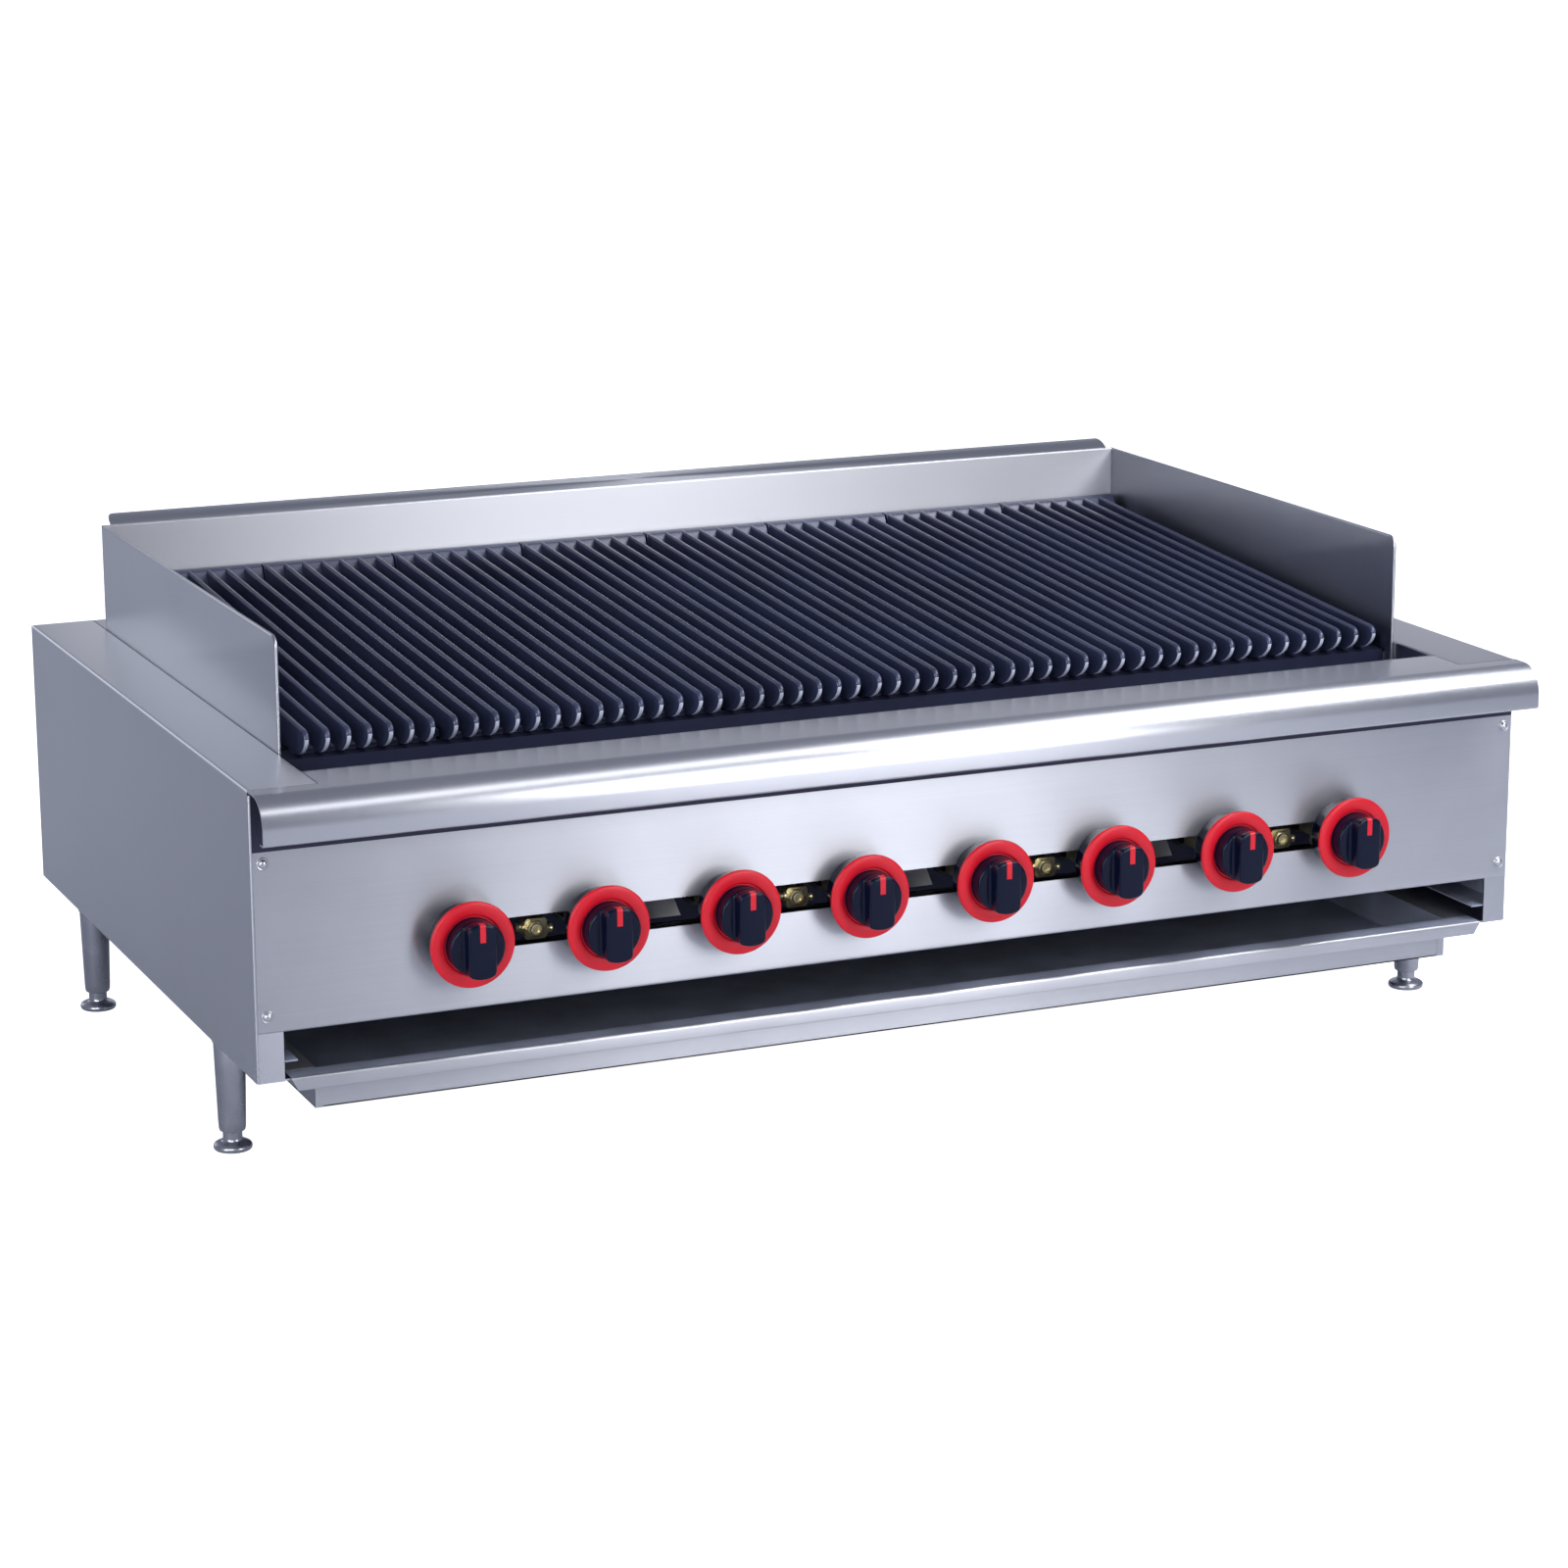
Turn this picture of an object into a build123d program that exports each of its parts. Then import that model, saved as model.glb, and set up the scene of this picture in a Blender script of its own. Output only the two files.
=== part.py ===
"""Countertop gas charbroiler: sheet-steel cabinet on four adjustable legs, eight cast grate sections over
eight burners with radiants, eight gas valves with knobs, and a drip tray that slides out at the front.

Millimetres. +X is to the right, +Y to the back, +Z up. The origin is on the floor, under the middle of the
footprint. Everything is placed from the driving dimensions below.
"""
import os
from math import atan2, cos, degrees, radians, sin, tan

from build123d import *

# Cabinet
cabinet_width = 1220.0
cabinet_depth = 731.0
cabinet_height = 252.0
sheet = 1.5
bend_radius = 2.5
deck_strip_width = 61.0
back_strip_depth = 51.0
ledge_depth = 46.0
deck_flange = 20.0
base_flange = 45.0
post_width = 24.0
back_flange = 20.0
end_flange = 12.0
vent_width = 90.0
vent_height = 8.0
vent_rise = 185.0

# Bullnose on the front ledge
bullnose_reach = 40.5
bullnose_drop = 39.0
bullnose_radius = 26.0
bullnose_hem = 10.0
ledge_lip = 8.0

# Front panel
mouth_height = 43.0
panel_flange = 14.0
post_gap = 0.5
slot_height = 25.5

# Legs and feet
leg_height = 102.0
leg_inset = 17.0
leg_front_setback = 143.0
leg_spacing = 458.0
leg_top_radius = 15.0
leg_bottom_radius = 11.8
leg_collar_height = 4.0
leg_collar_step = 1.0
leg_swell = 0.1
foot_disc_radius = 17.0
foot_disc_height = 8.0
foot_neck_radius = 8.5
foot_neck_show = 9.0
foot_neck_engagement = 45.0
foot_end_gap = 3.0
foot_fit = 0.05

# Drip tray
tray_side_gap = 10.0
tray_front_setback = 20.0
tray_back_gap = 20.0
tray_depth = 33.0
tray_sheet = 1.2
tray_lip_drop = 9.5
tray_post_gap = 5.0
tray_lip_taper = 6.0
tray_rail_rise = 16.0
tray_rail_show = 12.0
tray_rail_leg = 15.0
tray_rail_back_gap = 30.0

# Splash guards
splash_height = 101.4
splash_sheet = 3.0
splash_front_setback = 114.5
splash_corner_radius = 11.0
splash_sink = 37.0
lip_reach = 15.0
lip_rise = 9.0
lip_end_inset = 9.0
lip_corner_radius = 6.0

# Firebox
liner_sheet = 1.5
liner_top_gap = 12.0
firebox_floor_rise = 60.0
firebox_front_setback = 126.0
gutter_sheet = 1.2
gutter_shelf_front = 30.0
gutter_shelf_back = 58.0
gutter_depth = 40.0
gutter_fall = 8.0
gutter_skirt = 27.0

# Grates
section_count = 8
rib_count = 7
rib_top_width = 5.4
rib_root_width = 7.0
grate_depth = 28.0
grate_floor = 3.5
groove_chamfer = 3.0
slot_width = 5.0
slot_front_land = 72.0
slot_back_land = 10.0
blank_spare = 2.0
grate_lip_width = 2.5
grate_lip_height = 9.0
section_gap = 2.2
grate_side_gap = 11.9
nose_radius = 3.5
nose_tuck = 39.5
grate_front_setback = 100.5
grate_back_gap = 5.0
grate_front_rise = 16.9
grate_back_rise = 53.5
rear_bar = 12.0
under_bar_width = 8.0
under_bar_height = 9.0

# Rails across the firebox
rail_sheet = 3.0
rail_shelf = 26.0
grate_rail_leg = 50.0
low_rail_leg = 22.0
grate_hook_gap = 2.0
radiant_rail_rise = 150.0

# Burners, valves and knobs
burner_count = 8
burner_end_setback = 117.5
knob_rise = 105.8
burner_width = 44.0
burner_crown = 24.0
burner_half_height = 15.0
burner_bevel = 10.0
burner_front_gap = 24.0
burner_back_gap = 12.0
venturi_radius = 17.0
venturi_wall = 3.0
venturi_sides = 8
venturi_front_gap = 4.0
venturi_bore_depth = 66.0
venturi_window = 14.0
venturi_window_height = 10.0
venturi_window_setback = 8.0
venturi_fit = 0.3
radiant_gap = 10.0
radiant_flange = 8.0
radiant_crown = 12.0
radiant_height = 38.0
radiant_sheet = 2.0
radiant_end_gap = 6.0

manifold_radius = 13.35
manifold_wall = 2.9
manifold_setback = 36.0
manifold_drop = 34.0
elbow_width = 32.0
elbow_chamfer = 5.0
manifold_end = 45.0
inlet_reach = 24.0
inlet_bore_depth = 40.0
inlet_collar_radius = 17.0
inlet_collar_length = 20.0
inlet_collar_show = 4.0
inlet_hole_gap = 0.3
saddle_fit = 0.1
bracket_width = 30.0
bracket_sheet = 3.0
bracket_count = 2
bracket_bays = 6
bracket_overrun = 14.0
saddle_wrap = 5.0
notch_sides = 8

valve_width = 22.0
valve_front_setback = 14.0
valve_length = 42.0
valve_height = 20.0
valve_hood_width = 13.0
valve_hood_length = 12.0
valve_inlet_width = 14.0
valve_bore_depth = 16.0
stem_radius = 4.0
stem_fit = 0.05
stem_end_gap = 1.0

bezel_outer_radius = 37.5
bezel_foot_radius = 31.0
bezel_bore_radius = 25.0
bezel_reach = 25.0
knob_radius = 24.2
knob_disc_back = 14.0
knob_disc_front = 38.0
knob_reach = 50.0
grip_width = 26.0

pilot_count = 4
pilot_offset = 14.0
pilot_drop = 8.0
pilot_body_width = 20.0
pilot_body_height = 18.0
pilot_body_depth = 16.0
pilot_nut_width = 8.0
pilot_nut_length = 8.0
pilot_stub_width = 8.0
pilot_tube_radius = 3.0
pilot_tube_back_setback = 190.0
pilot_tube_fit = 0.3
baffle_pipe_gap = 3.0
baffle_drop = 19.0
baffle_height = 30.0
baffle_width = 35.5
baffle_slant = 11.5
baffle_foot = 16.0
baffle_sheet = 1.2

# Planes and lines that several pieces share
half_width = cabinet_width / 2
front_y = (knob_reach - cabinet_depth - inlet_reach) / 2
back_y = front_y + cabinet_depth
base_z = leg_height
deck_z = base_z + cabinet_height
panel_back_y = front_y + sheet
opening_half = half_width - deck_strip_width
opening_front_y = front_y + ledge_depth
opening_back_y = back_y - back_strip_depth
splash_inner = opening_half - splash_sheet
liner_inner = splash_inner - liner_sheet
knob_z = base_z + knob_rise
knob_pitch = 2 * (liner_inner - burner_end_setback) / (burner_count - 1)
firebox_front_y = front_y + firebox_front_setback
firebox_inside_front_y = firebox_front_y + liner_sheet
firebox_inside_back_y = opening_back_y - liner_sheet
firebox_bottom_z = base_z + firebox_floor_rise
liner_top_z = deck_z - liner_top_gap
manifold_y = front_y + manifold_setback
manifold_z = knob_z - manifold_drop
valve_y = front_y + valve_front_setback
valve_end_y = valve_y + valve_length


def bent_sheet(points, bends, thickness, side):
    """Face of a folded sheet: the polyline is its outer skin, and the wall lies on the given side of it."""
    with BuildLine() as skin:
        FilletPolyline(*points, radius=bends)
        offset(amount=thickness, side=side)
    make_face(skin.edges())


def save(part, name):
    """Label a finished piece and write its STEP file."""
    part.label = name
    export_step(part, f"parts/{name}.step")


def spread(count, pitch):
    """Positions of a row of copies, centred on zero."""
    return [(index - (count - 1) / 2) * pitch for index in range(count)]


os.makedirs("parts", exist_ok=True)
burner_xs = spread(burner_count, knob_pitch)

# Side panels: outer wall, deck strip with its down flange, base flange, and a flange at each end
leg_ys = (front_y + leg_front_setback, front_y + leg_front_setback + leg_spacing)
leg_x = half_width - leg_inset
panel_front_y = panel_back_y
panel_end_y = back_y - sheet
with BuildPart() as side_panel:
    with BuildSketch(Plane.XZ.offset(-panel_end_y)):
        bent_sheet(
            [
                (-opening_half, deck_z - deck_flange),
                (-opening_half, deck_z),
                (-half_width, deck_z),
                (-half_width, base_z),
                (-half_width + base_flange, base_z),
            ],
            [0, bend_radius, 0],
            sheet,
            Side.LEFT,
        )
    extrude(amount=panel_end_y - panel_front_y)
    for flange_y, flange_width in ((panel_front_y, post_width), (panel_end_y - sheet, end_flange)):
        with BuildSketch(Plane.XZ.offset(-flange_y - sheet)):
            with Locations((-half_width + sheet / 2, base_z)):
                Rectangle(flange_width - sheet / 2, cabinet_height - sheet / 2, align=(Align.MIN, Align.MIN))
        extrude(amount=sheet)
save(side_panel.part, "left_side_panel")
save(mirror(side_panel.part, about=Plane.YZ), "right_side_panel")

# Front panel: flat sheet over both posts, with the long slot behind the knobs and a return flange below
front_panel_bottom_z = base_z + mouth_height
with BuildPart() as front_panel:
    with BuildSketch(Plane.YZ):
        bent_sheet(
            [
                (front_y, deck_z - sheet),
                (front_y, front_panel_bottom_z),
                (front_y + panel_flange, front_panel_bottom_z),
            ],
            [bend_radius],
            sheet,
            Side.LEFT,
        )
    extrude(amount=half_width, both=True)
    with BuildSketch(Plane.XZ.offset(-front_y - sheet)):
        with Locations((0, knob_z)):
            Rectangle((burner_count - 1) * knob_pitch + slot_height, slot_height)
    extrude(amount=sheet, mode=Mode.SUBTRACT)
    for side in (-1, 1):
        with BuildSketch(Plane.XY.offset(front_panel_bottom_z)):
            with Locations((side * half_width, panel_back_y)):
                Rectangle(2 * (post_width + post_gap), panel_flange, align=(Align.CENTER, Align.MIN))
        extrude(amount=bend_radius, mode=Mode.SUBTRACT)
save(front_panel.part, "front_panel")

# Front ledge: deck in front of the opening, rolled over into the bullnose, which is open at its ends
with BuildPart() as front_ledge:
    with BuildSketch(Plane.YZ):
        bent_sheet(
            [
                (opening_front_y, deck_z - ledge_lip),
                (opening_front_y, deck_z),
                (front_y - bullnose_reach, deck_z),
                (front_y - bullnose_reach, deck_z - bullnose_drop),
                (front_y - bullnose_reach + bullnose_hem, deck_z - bullnose_drop),
            ],
            [bend_radius, bullnose_radius, 0],
            sheet,
            Side.LEFT,
        )
    extrude(amount=half_width, both=True)
    for x in (-half_width, opening_half):
        with BuildSketch(Plane.XY.offset(deck_z)):
            with Locations((x, panel_front_y)):
                Rectangle(deck_strip_width, ledge_depth, align=(Align.MIN, Align.MIN))
        extrude(amount=-ledge_lip, mode=Mode.SUBTRACT)
save(front_ledge.part, "front_ledge")

# Back panel: rear deck strip, back wall with vents, base flange, and the gas inlet hole
manifold_side_x = half_width - sheet - (deck_strip_width - sheet) / 2
splash_back_y = opening_back_y + sheet
with BuildPart() as back_panel:
    with BuildSketch(Plane.YZ):
        bent_sheet(
            [
                (splash_back_y, deck_z - deck_flange),
                (splash_back_y, deck_z),
                (back_y, deck_z),
                (back_y, base_z),
                (back_y - back_flange, base_z),
            ],
            [0, bend_radius, 0],
            sheet,
            Side.RIGHT,
        )
    extrude(amount=half_width, both=True)
    for x in (-half_width, opening_half):
        with BuildSketch(Plane.XY.offset(base_z)):
            with Locations((x, panel_end_y)):
                Rectangle(deck_strip_width, back_strip_depth, align=(Align.MIN, Align.MAX))
        extrude(amount=cabinet_height, mode=Mode.SUBTRACT)
    with BuildSketch(Plane.XZ.offset(-back_y)):
        with Locations(*[(x, base_z + vent_rise) for x in burner_xs]):
            Rectangle(vent_width, vent_height)
        with Locations((manifold_side_x, manifold_z)):
            Circle(inlet_collar_radius + inlet_hole_gap)
    extrude(amount=sheet, mode=Mode.SUBTRACT)
save(back_panel.part, "back_panel")

# Legs and feet: tapered tubes under the base flanges, each with a bore in which the foot's neck slides
leg_bottom_z = foot_disc_height + foot_neck_show
leg_corners = (
    ("front_left", -leg_x, leg_ys[0]),
    ("front_right", leg_x, leg_ys[0]),
    ("rear_left", -leg_x, leg_ys[1]),
    ("rear_right", leg_x, leg_ys[1]),
)
foot_top_z = leg_bottom_z + foot_neck_engagement
with BuildPart() as legs:
    for _, x, y in leg_corners:
        with BuildSketch(Plane((x, y, 0), x_dir=(1, 0, 0), z_dir=(0, -1, 0))):
            with BuildLine():
                Polyline(
                    (leg_top_radius - leg_collar_step, base_z - leg_collar_height),
                    (leg_top_radius, base_z - leg_collar_height),
                    (leg_top_radius, base_z),
                    (0, base_z),
                    (0, foot_top_z + foot_end_gap),
                    (foot_neck_radius + foot_fit, foot_top_z + foot_end_gap),
                    (foot_neck_radius + foot_fit, leg_bottom_z),
                    (leg_bottom_radius, leg_bottom_z),
                )
                Spline(
                    (leg_bottom_radius, leg_bottom_z),
                    (
                        (leg_bottom_radius + leg_top_radius - leg_collar_step) / 2 + leg_swell,
                        (leg_bottom_z + base_z - leg_collar_height) / 2,
                    ),
                    (leg_top_radius - leg_collar_step, base_z - leg_collar_height),
                )
            make_face()
        revolve(axis=Axis((x, y, 0), (0, 0, 1)))
save(legs.part, "legs")
for corner, x, y in leg_corners:
    with BuildPart() as foot:
        with BuildSketch(Plane.XY):
            with Locations((x, y)):
                Circle(foot_disc_radius)
        extrude(amount=foot_disc_height)
        with BuildSketch(Plane.XY.offset(foot_disc_height)):
            with Locations((x, y)):
                Circle(foot_neck_radius)
        extrude(amount=foot_top_z - foot_disc_height)
    save(foot.part, f"foot_{corner}")

# Drip tray: five sheets welded into a pan, with end flanges that slide on the base flanges, and a front lip
tray_half = half_width - base_flange - tray_side_gap
tray_lip_half = half_width - post_width - tray_post_gap
tray_flange_z = base_z + sheet
tray_front_y = front_y + tray_front_setback
tray_back_y = back_y - back_flange - tray_back_gap
tray_top_z = tray_flange_z + tray_sheet
tray_floor_z = base_z - tray_depth
tray_end_front_y = tray_front_y + tray_sheet
tray_end_back_y = tray_back_y - tray_sheet
with BuildPart() as tray_floor:
    with BuildSketch(Plane.XY.offset(tray_floor_z)):
        with Locations((0, tray_front_y)):
            Rectangle(2 * tray_half, tray_back_y - tray_front_y, align=(Align.CENTER, Align.MIN))
    extrude(amount=tray_sheet)
with BuildPart() as tray_back:
    with BuildSketch(Plane.XZ.offset(-tray_back_y)):
        with Locations((0, tray_floor_z + tray_sheet)):
            Rectangle(2 * tray_half, tray_top_z - tray_floor_z - tray_sheet, align=(Align.CENTER, Align.MIN))
    extrude(amount=tray_sheet)
with BuildPart() as tray_front:
    with BuildSketch(Plane.XZ.offset(-tray_end_front_y)):
        with Locations((0, tray_floor_z + tray_sheet)):
            Rectangle(2 * tray_half, tray_top_z - tray_floor_z - tray_sheet, align=(Align.CENTER, Align.MIN))
    extrude(amount=tray_sheet)
    with BuildSketch(Plane.XY.offset(tray_flange_z)):
        with Locations((0, front_y)):
            Rectangle(2 * tray_lip_half, tray_end_front_y - front_y, align=(Align.CENTER, Align.MIN))
    extrude(amount=tray_sheet)
    with BuildSketch(Plane.XZ.offset(-front_y)):
        with BuildLine():
            Polyline(
                (-tray_lip_half, tray_top_z),
                (tray_lip_half, tray_top_z),
                (tray_lip_half, tray_flange_z),
                (tray_lip_half - tray_lip_taper, base_z - tray_lip_drop),
                (-tray_lip_half + tray_lip_taper, base_z - tray_lip_drop),
                (-tray_lip_half, tray_flange_z),
                close=True,
            )
        make_face()
    extrude(amount=tray_sheet)
with BuildPart() as tray_ends:
    with BuildSketch(Plane.XZ.offset(-tray_end_back_y)):
        with Locations((-tray_half, tray_floor_z + tray_sheet)):
            Rectangle(tray_sheet, tray_top_z - tray_floor_z - tray_sheet, align=(Align.MIN, Align.MIN))
        with Locations((-tray_lip_half, tray_flange_z)):
            Rectangle(tray_lip_half - tray_half + tray_sheet, tray_sheet, align=(Align.MIN, Align.MIN))
    extrude(amount=tray_end_back_y - tray_end_front_y)
    mirror(about=Plane.YZ)
tray_sheets = tray_floor.solids() + tray_back.solids() + tray_front.solids() + tray_ends.solids()
save(Compound(tray_sheets), "drip_tray")

# Tray rails: one angle on each side wall, over the tray's flange, so that the open tray can't tip
tray_rail_back_y = back_y - tray_rail_back_gap
with BuildPart() as tray_rails:
    with BuildSketch(Plane.XZ.offset(-tray_rail_back_y)):
        bent_sheet(
            [
                (-half_width + post_width + tray_rail_show, base_z + tray_rail_rise),
                (-half_width + sheet, base_z + tray_rail_rise),
                (-half_width + sheet, base_z + tray_rail_rise + tray_rail_leg),
            ],
            0,
            sheet,
            Side.RIGHT,
        )
    extrude(amount=tray_rail_back_y - panel_front_y - sheet)
    mirror(about=Plane.YZ)
save(tray_rails.part, "tray_rails")

# Side splash guards: hemmed plates that stand inside the deck opening
splash_top_z = deck_z + splash_height
with BuildPart() as side_splash:
    with BuildSketch(Plane.YZ.offset(-opening_half)) as side_outline:
        with Locations((front_y + splash_front_setback, deck_z - splash_sink)):
            Rectangle(
                opening_back_y - front_y - splash_front_setback,
                splash_height + splash_sink,
                align=(Align.MIN, Align.MIN),
            )
        fillet(side_outline.vertices().group_by(Axis.Y)[0].sort_by(Axis.Z)[-1], splash_corner_radius)
    extrude(amount=splash_sheet)
save(side_splash.part, "splash_left")
save(mirror(side_splash.part, about=Plane.YZ), "splash_right")

# Back splash guard: plate between the deck strips, with a lip that leans back along its top
with BuildPart() as splash_back:
    with BuildSketch(Plane.YZ):
        bent_sheet(
            [
                (opening_back_y, deck_z - splash_sink),
                (opening_back_y, splash_top_z),
                (opening_back_y + lip_reach, splash_top_z + lip_rise),
            ],
            bend_radius,
            sheet,
            Side.RIGHT,
        )
    extrude(amount=opening_half, both=True)
    with BuildSketch(Plane.XZ.offset(-opening_back_y - lip_reach - sheet)) as lip_trim:
        with Locations((0, splash_top_z + lip_rise + sheet)):
            Rectangle(2 * opening_half, lip_rise + sheet, align=(Align.CENTER, Align.MAX))
        with Locations((0, splash_top_z)):
            RectangleRounded(
                2 * (opening_half - lip_end_inset),
                2 * lip_rise,
                lip_corner_radius,
                mode=Mode.SUBTRACT,
            )
    extrude(amount=lip_reach + 2 * sheet, mode=Mode.SUBTRACT)
save(splash_back.part, "splash_back")

# Firebox liners: side walls inside the splash guards
with BuildPart() as firebox_liner:
    with BuildSketch(Plane.YZ.offset(-splash_inner)):
        with Locations((firebox_front_y, firebox_bottom_z)):
            Rectangle(
                firebox_inside_back_y - firebox_front_y,
                liner_top_z - firebox_bottom_z,
                align=(Align.MIN, Align.MIN),
            )
    extrude(amount=liner_sheet)
save(firebox_liner.part, "firebox_liner_left")
save(mirror(firebox_liner.part, about=Plane.YZ), "firebox_liner_right")

# Firebox front: heat shield behind the valves, with a square hole for each burner and one for each pilot tube
pilot_xs = [x + pilot_offset for x in spread(pilot_count, 2 * knob_pitch)]
pilot_z = knob_z - pilot_drop
shield_top_z = deck_z - gutter_depth - gutter_fall
pilot_hole = 2 * (pilot_tube_radius + pilot_tube_fit)
venturi_hole = 2 * (venturi_radius + venturi_fit)
with BuildPart() as firebox_front:
    with BuildSketch(Plane.XZ.offset(-firebox_inside_front_y)):
        with Locations((0, firebox_bottom_z)):
            Rectangle(2 * liner_inner, shield_top_z - firebox_bottom_z, align=(Align.CENTER, Align.MIN))
        with Locations(*[(x, knob_z) for x in burner_xs]):
            Rectangle(venturi_hole, venturi_hole, mode=Mode.SUBTRACT)
        with Locations(*[(x, pilot_z) for x in pilot_xs]):
            Rectangle(pilot_hole, pilot_hole, mode=Mode.SUBTRACT)
    extrude(amount=liner_sheet)
save(firebox_front.part, "firebox_front")

# Firebox back: plain wall in front of the back splash guard's foot
with BuildPart() as firebox_back:
    with BuildSketch(Plane.XZ.offset(-opening_back_y)):
        with Locations((0, firebox_bottom_z)):
            Rectangle(2 * splash_inner, liner_top_z - firebox_bottom_z, align=(Align.CENTER, Align.MIN))
    extrude(amount=liner_sheet)
save(firebox_back.part, "firebox_back")

# Grease gutter: shelf under the ledge's lip, drop, sloped floor below the grate noses, and a skirt
gutter_shelf_z = deck_z - ledge_lip
with BuildPart() as grease_gutter:
    with BuildSketch(Plane.YZ):
        bent_sheet(
            [
                (front_y + gutter_shelf_front, gutter_shelf_z),
                (front_y + gutter_shelf_back, gutter_shelf_z),
                (front_y + gutter_shelf_back, deck_z - gutter_depth),
                (firebox_front_y, shield_top_z),
                (firebox_front_y, shield_top_z - gutter_skirt),
            ],
            0,
            gutter_sheet,
            Side.RIGHT,
        )
    extrude(amount=splash_inner, both=True)
save(grease_gutter.part, "grease_gutter")

# Grate sections: ribs joined by a grooved floor, cut to one side outline whose rounded noses slant back under
grate_front_y = front_y + grate_front_setback
grate_back_y = opening_back_y - grate_back_gap
grate_slope = degrees(atan2(grate_back_rise - grate_front_rise, grate_back_y - grate_front_y))
grate_top_z = deck_z + grate_front_rise
section_pitch = (2 * (splash_inner - grate_side_gap) + section_gap) / section_count
rib_pitch = (section_pitch - section_gap) / rib_count
hook_front_y = firebox_inside_front_y + rail_shelf + grate_hook_gap


def grate_line(y, drop):
    """Height of the line that lies drop below the rib tops at y."""
    return grate_top_z + (y - grate_front_y) * tan(radians(grate_slope)) - drop / cos(radians(grate_slope))


def grate_seat(y):
    """Height of the grates' underside at y."""
    return grate_line(y, grate_depth)


def grate_section(center_x):
    """One cast section, its rib pattern centred on center_x."""
    rib_xs = [center_x + x for x in spread(rib_count, rib_pitch)]
    groove_xs = [x + rib_pitch / 2 for x in rib_xs]
    draft = (rib_root_width - rib_top_width) / 2 / grate_depth
    groove_half = (rib_pitch - rib_root_width) / 2 + draft * (grate_floor + groove_chamfer)
    left_x = rib_xs[0] - rib_root_width / 2
    right_x = left_x + rib_count * rib_pitch
    floor_top = grate_floor - grate_depth
    blank_bottom = -grate_depth - blank_spare
    slope_plane = Plane(
        (0, grate_front_y, grate_top_z),
        x_dir=(1, 0, 0),
        z_dir=(0, -cos(radians(grate_slope)), -sin(radians(grate_slope))),
    )
    with BuildPart() as section:
        with BuildSketch(slope_plane):
            for x in rib_xs:
                with BuildLine():
                    Polyline(
                        (x - rib_top_width / 2 + draft * blank_spare, blank_spare),
                        (x + rib_top_width / 2 - draft * blank_spare, blank_spare),
                        (x + rib_root_width / 2 + draft * blank_spare, blank_bottom),
                        (x - rib_root_width / 2 - draft * blank_spare, blank_bottom),
                        close=True,
                    )
                make_face()
            for x in groove_xs:
                with BuildLine():
                    Polyline(
                        (x - groove_half - groove_chamfer, blank_bottom),
                        (x - groove_half - groove_chamfer, floor_top + groove_chamfer),
                        (x - groove_half, floor_top + groove_chamfer),
                        (x - groove_half + groove_chamfer, floor_top),
                        (x + groove_half - groove_chamfer, floor_top),
                        (x + groove_half, floor_top + groove_chamfer),
                        (x + groove_half + groove_chamfer, floor_top + groove_chamfer),
                        (x + groove_half + groove_chamfer, blank_bottom),
                        close=True,
                    )
                make_face()
            with Locations((right_x, blank_bottom)):
                Rectangle(grate_lip_width, grate_lip_height + blank_spare, align=(Align.MAX, Align.MIN))
        extrude(amount=-(grate_back_y - grate_front_y + grate_depth) / cos(radians(grate_slope)))
        with BuildSketch(Plane.XZ.offset(-grate_back_y - blank_spare)):
            with Locations(((left_x + right_x) / 2, grate_line(grate_back_y, grate_depth / 2))):
                Rectangle(right_x - left_x, 2 * grate_depth)
        extrude(amount=rear_bar + blank_spare)
        with BuildSketch(Plane.YZ.offset(right_x)):
            with BuildLine():
                outline = FilletPolyline(
                    (grate_back_y, grate_seat(grate_back_y)),
                    (grate_back_y, grate_line(grate_back_y, 0)),
                    (grate_front_y, grate_top_z),
                    (grate_front_y + nose_tuck, grate_seat(grate_front_y + nose_tuck)),
                    radius=[0, nose_radius],
                )
                Line(outline @ 1, outline @ 0)
            make_face()
        extrude(amount=-section_pitch, mode=Mode.INTERSECT)
        with BuildSketch(Plane.XY.offset(grate_seat(grate_front_y) - blank_spare)):
            with Locations(*[(x, grate_front_y + slot_front_land) for x in groove_xs[:-1]]):
                Rectangle(
                    slot_width,
                    grate_back_y - rear_bar - slot_back_land - grate_front_y - slot_front_land,
                    align=(Align.CENTER, Align.MIN),
                )
        extrude(amount=3 * grate_depth, mode=Mode.SUBTRACT)
        with BuildSketch(Plane.YZ.offset(left_x)):
            with BuildLine():
                Polyline(
                    (hook_front_y, grate_seat(hook_front_y) + blank_spare),
                    (hook_front_y, grate_seat(hook_front_y) - under_bar_height),
                    (hook_front_y + under_bar_width, grate_seat(hook_front_y) - under_bar_height),
                    (hook_front_y + under_bar_width, grate_seat(hook_front_y) + blank_spare),
                    close=True,
                )
            make_face()
        extrude(amount=right_x - left_x)
    return section.part


for index, x in enumerate(spread(section_count, section_pitch), start=1):
    save(grate_section(x), f"grate_{index}")


def rail(wall_y, reach, leg, height_at):
    """Angle across the firebox: a leg on the wall at wall_y and a shelf that reaches inwards from it."""
    shelf_y = wall_y + reach
    with BuildPart() as angle:
        with BuildSketch(Plane.YZ):
            bent_sheet(
                [(wall_y, height_at(wall_y) - leg), (wall_y, height_at(wall_y)), (shelf_y, height_at(shelf_y))],
                0,
                rail_sheet,
                Side.RIGHT if reach > 0 else Side.LEFT,
            )
        extrude(amount=liner_inner, both=True)
    return angle.part


def radiant_seat(_):
    """Height of the radiants' flanges."""
    return base_z + radiant_rail_rise


def burner_seat(_):
    """Height of the burners' underside."""
    return knob_z - burner_half_height


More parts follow.
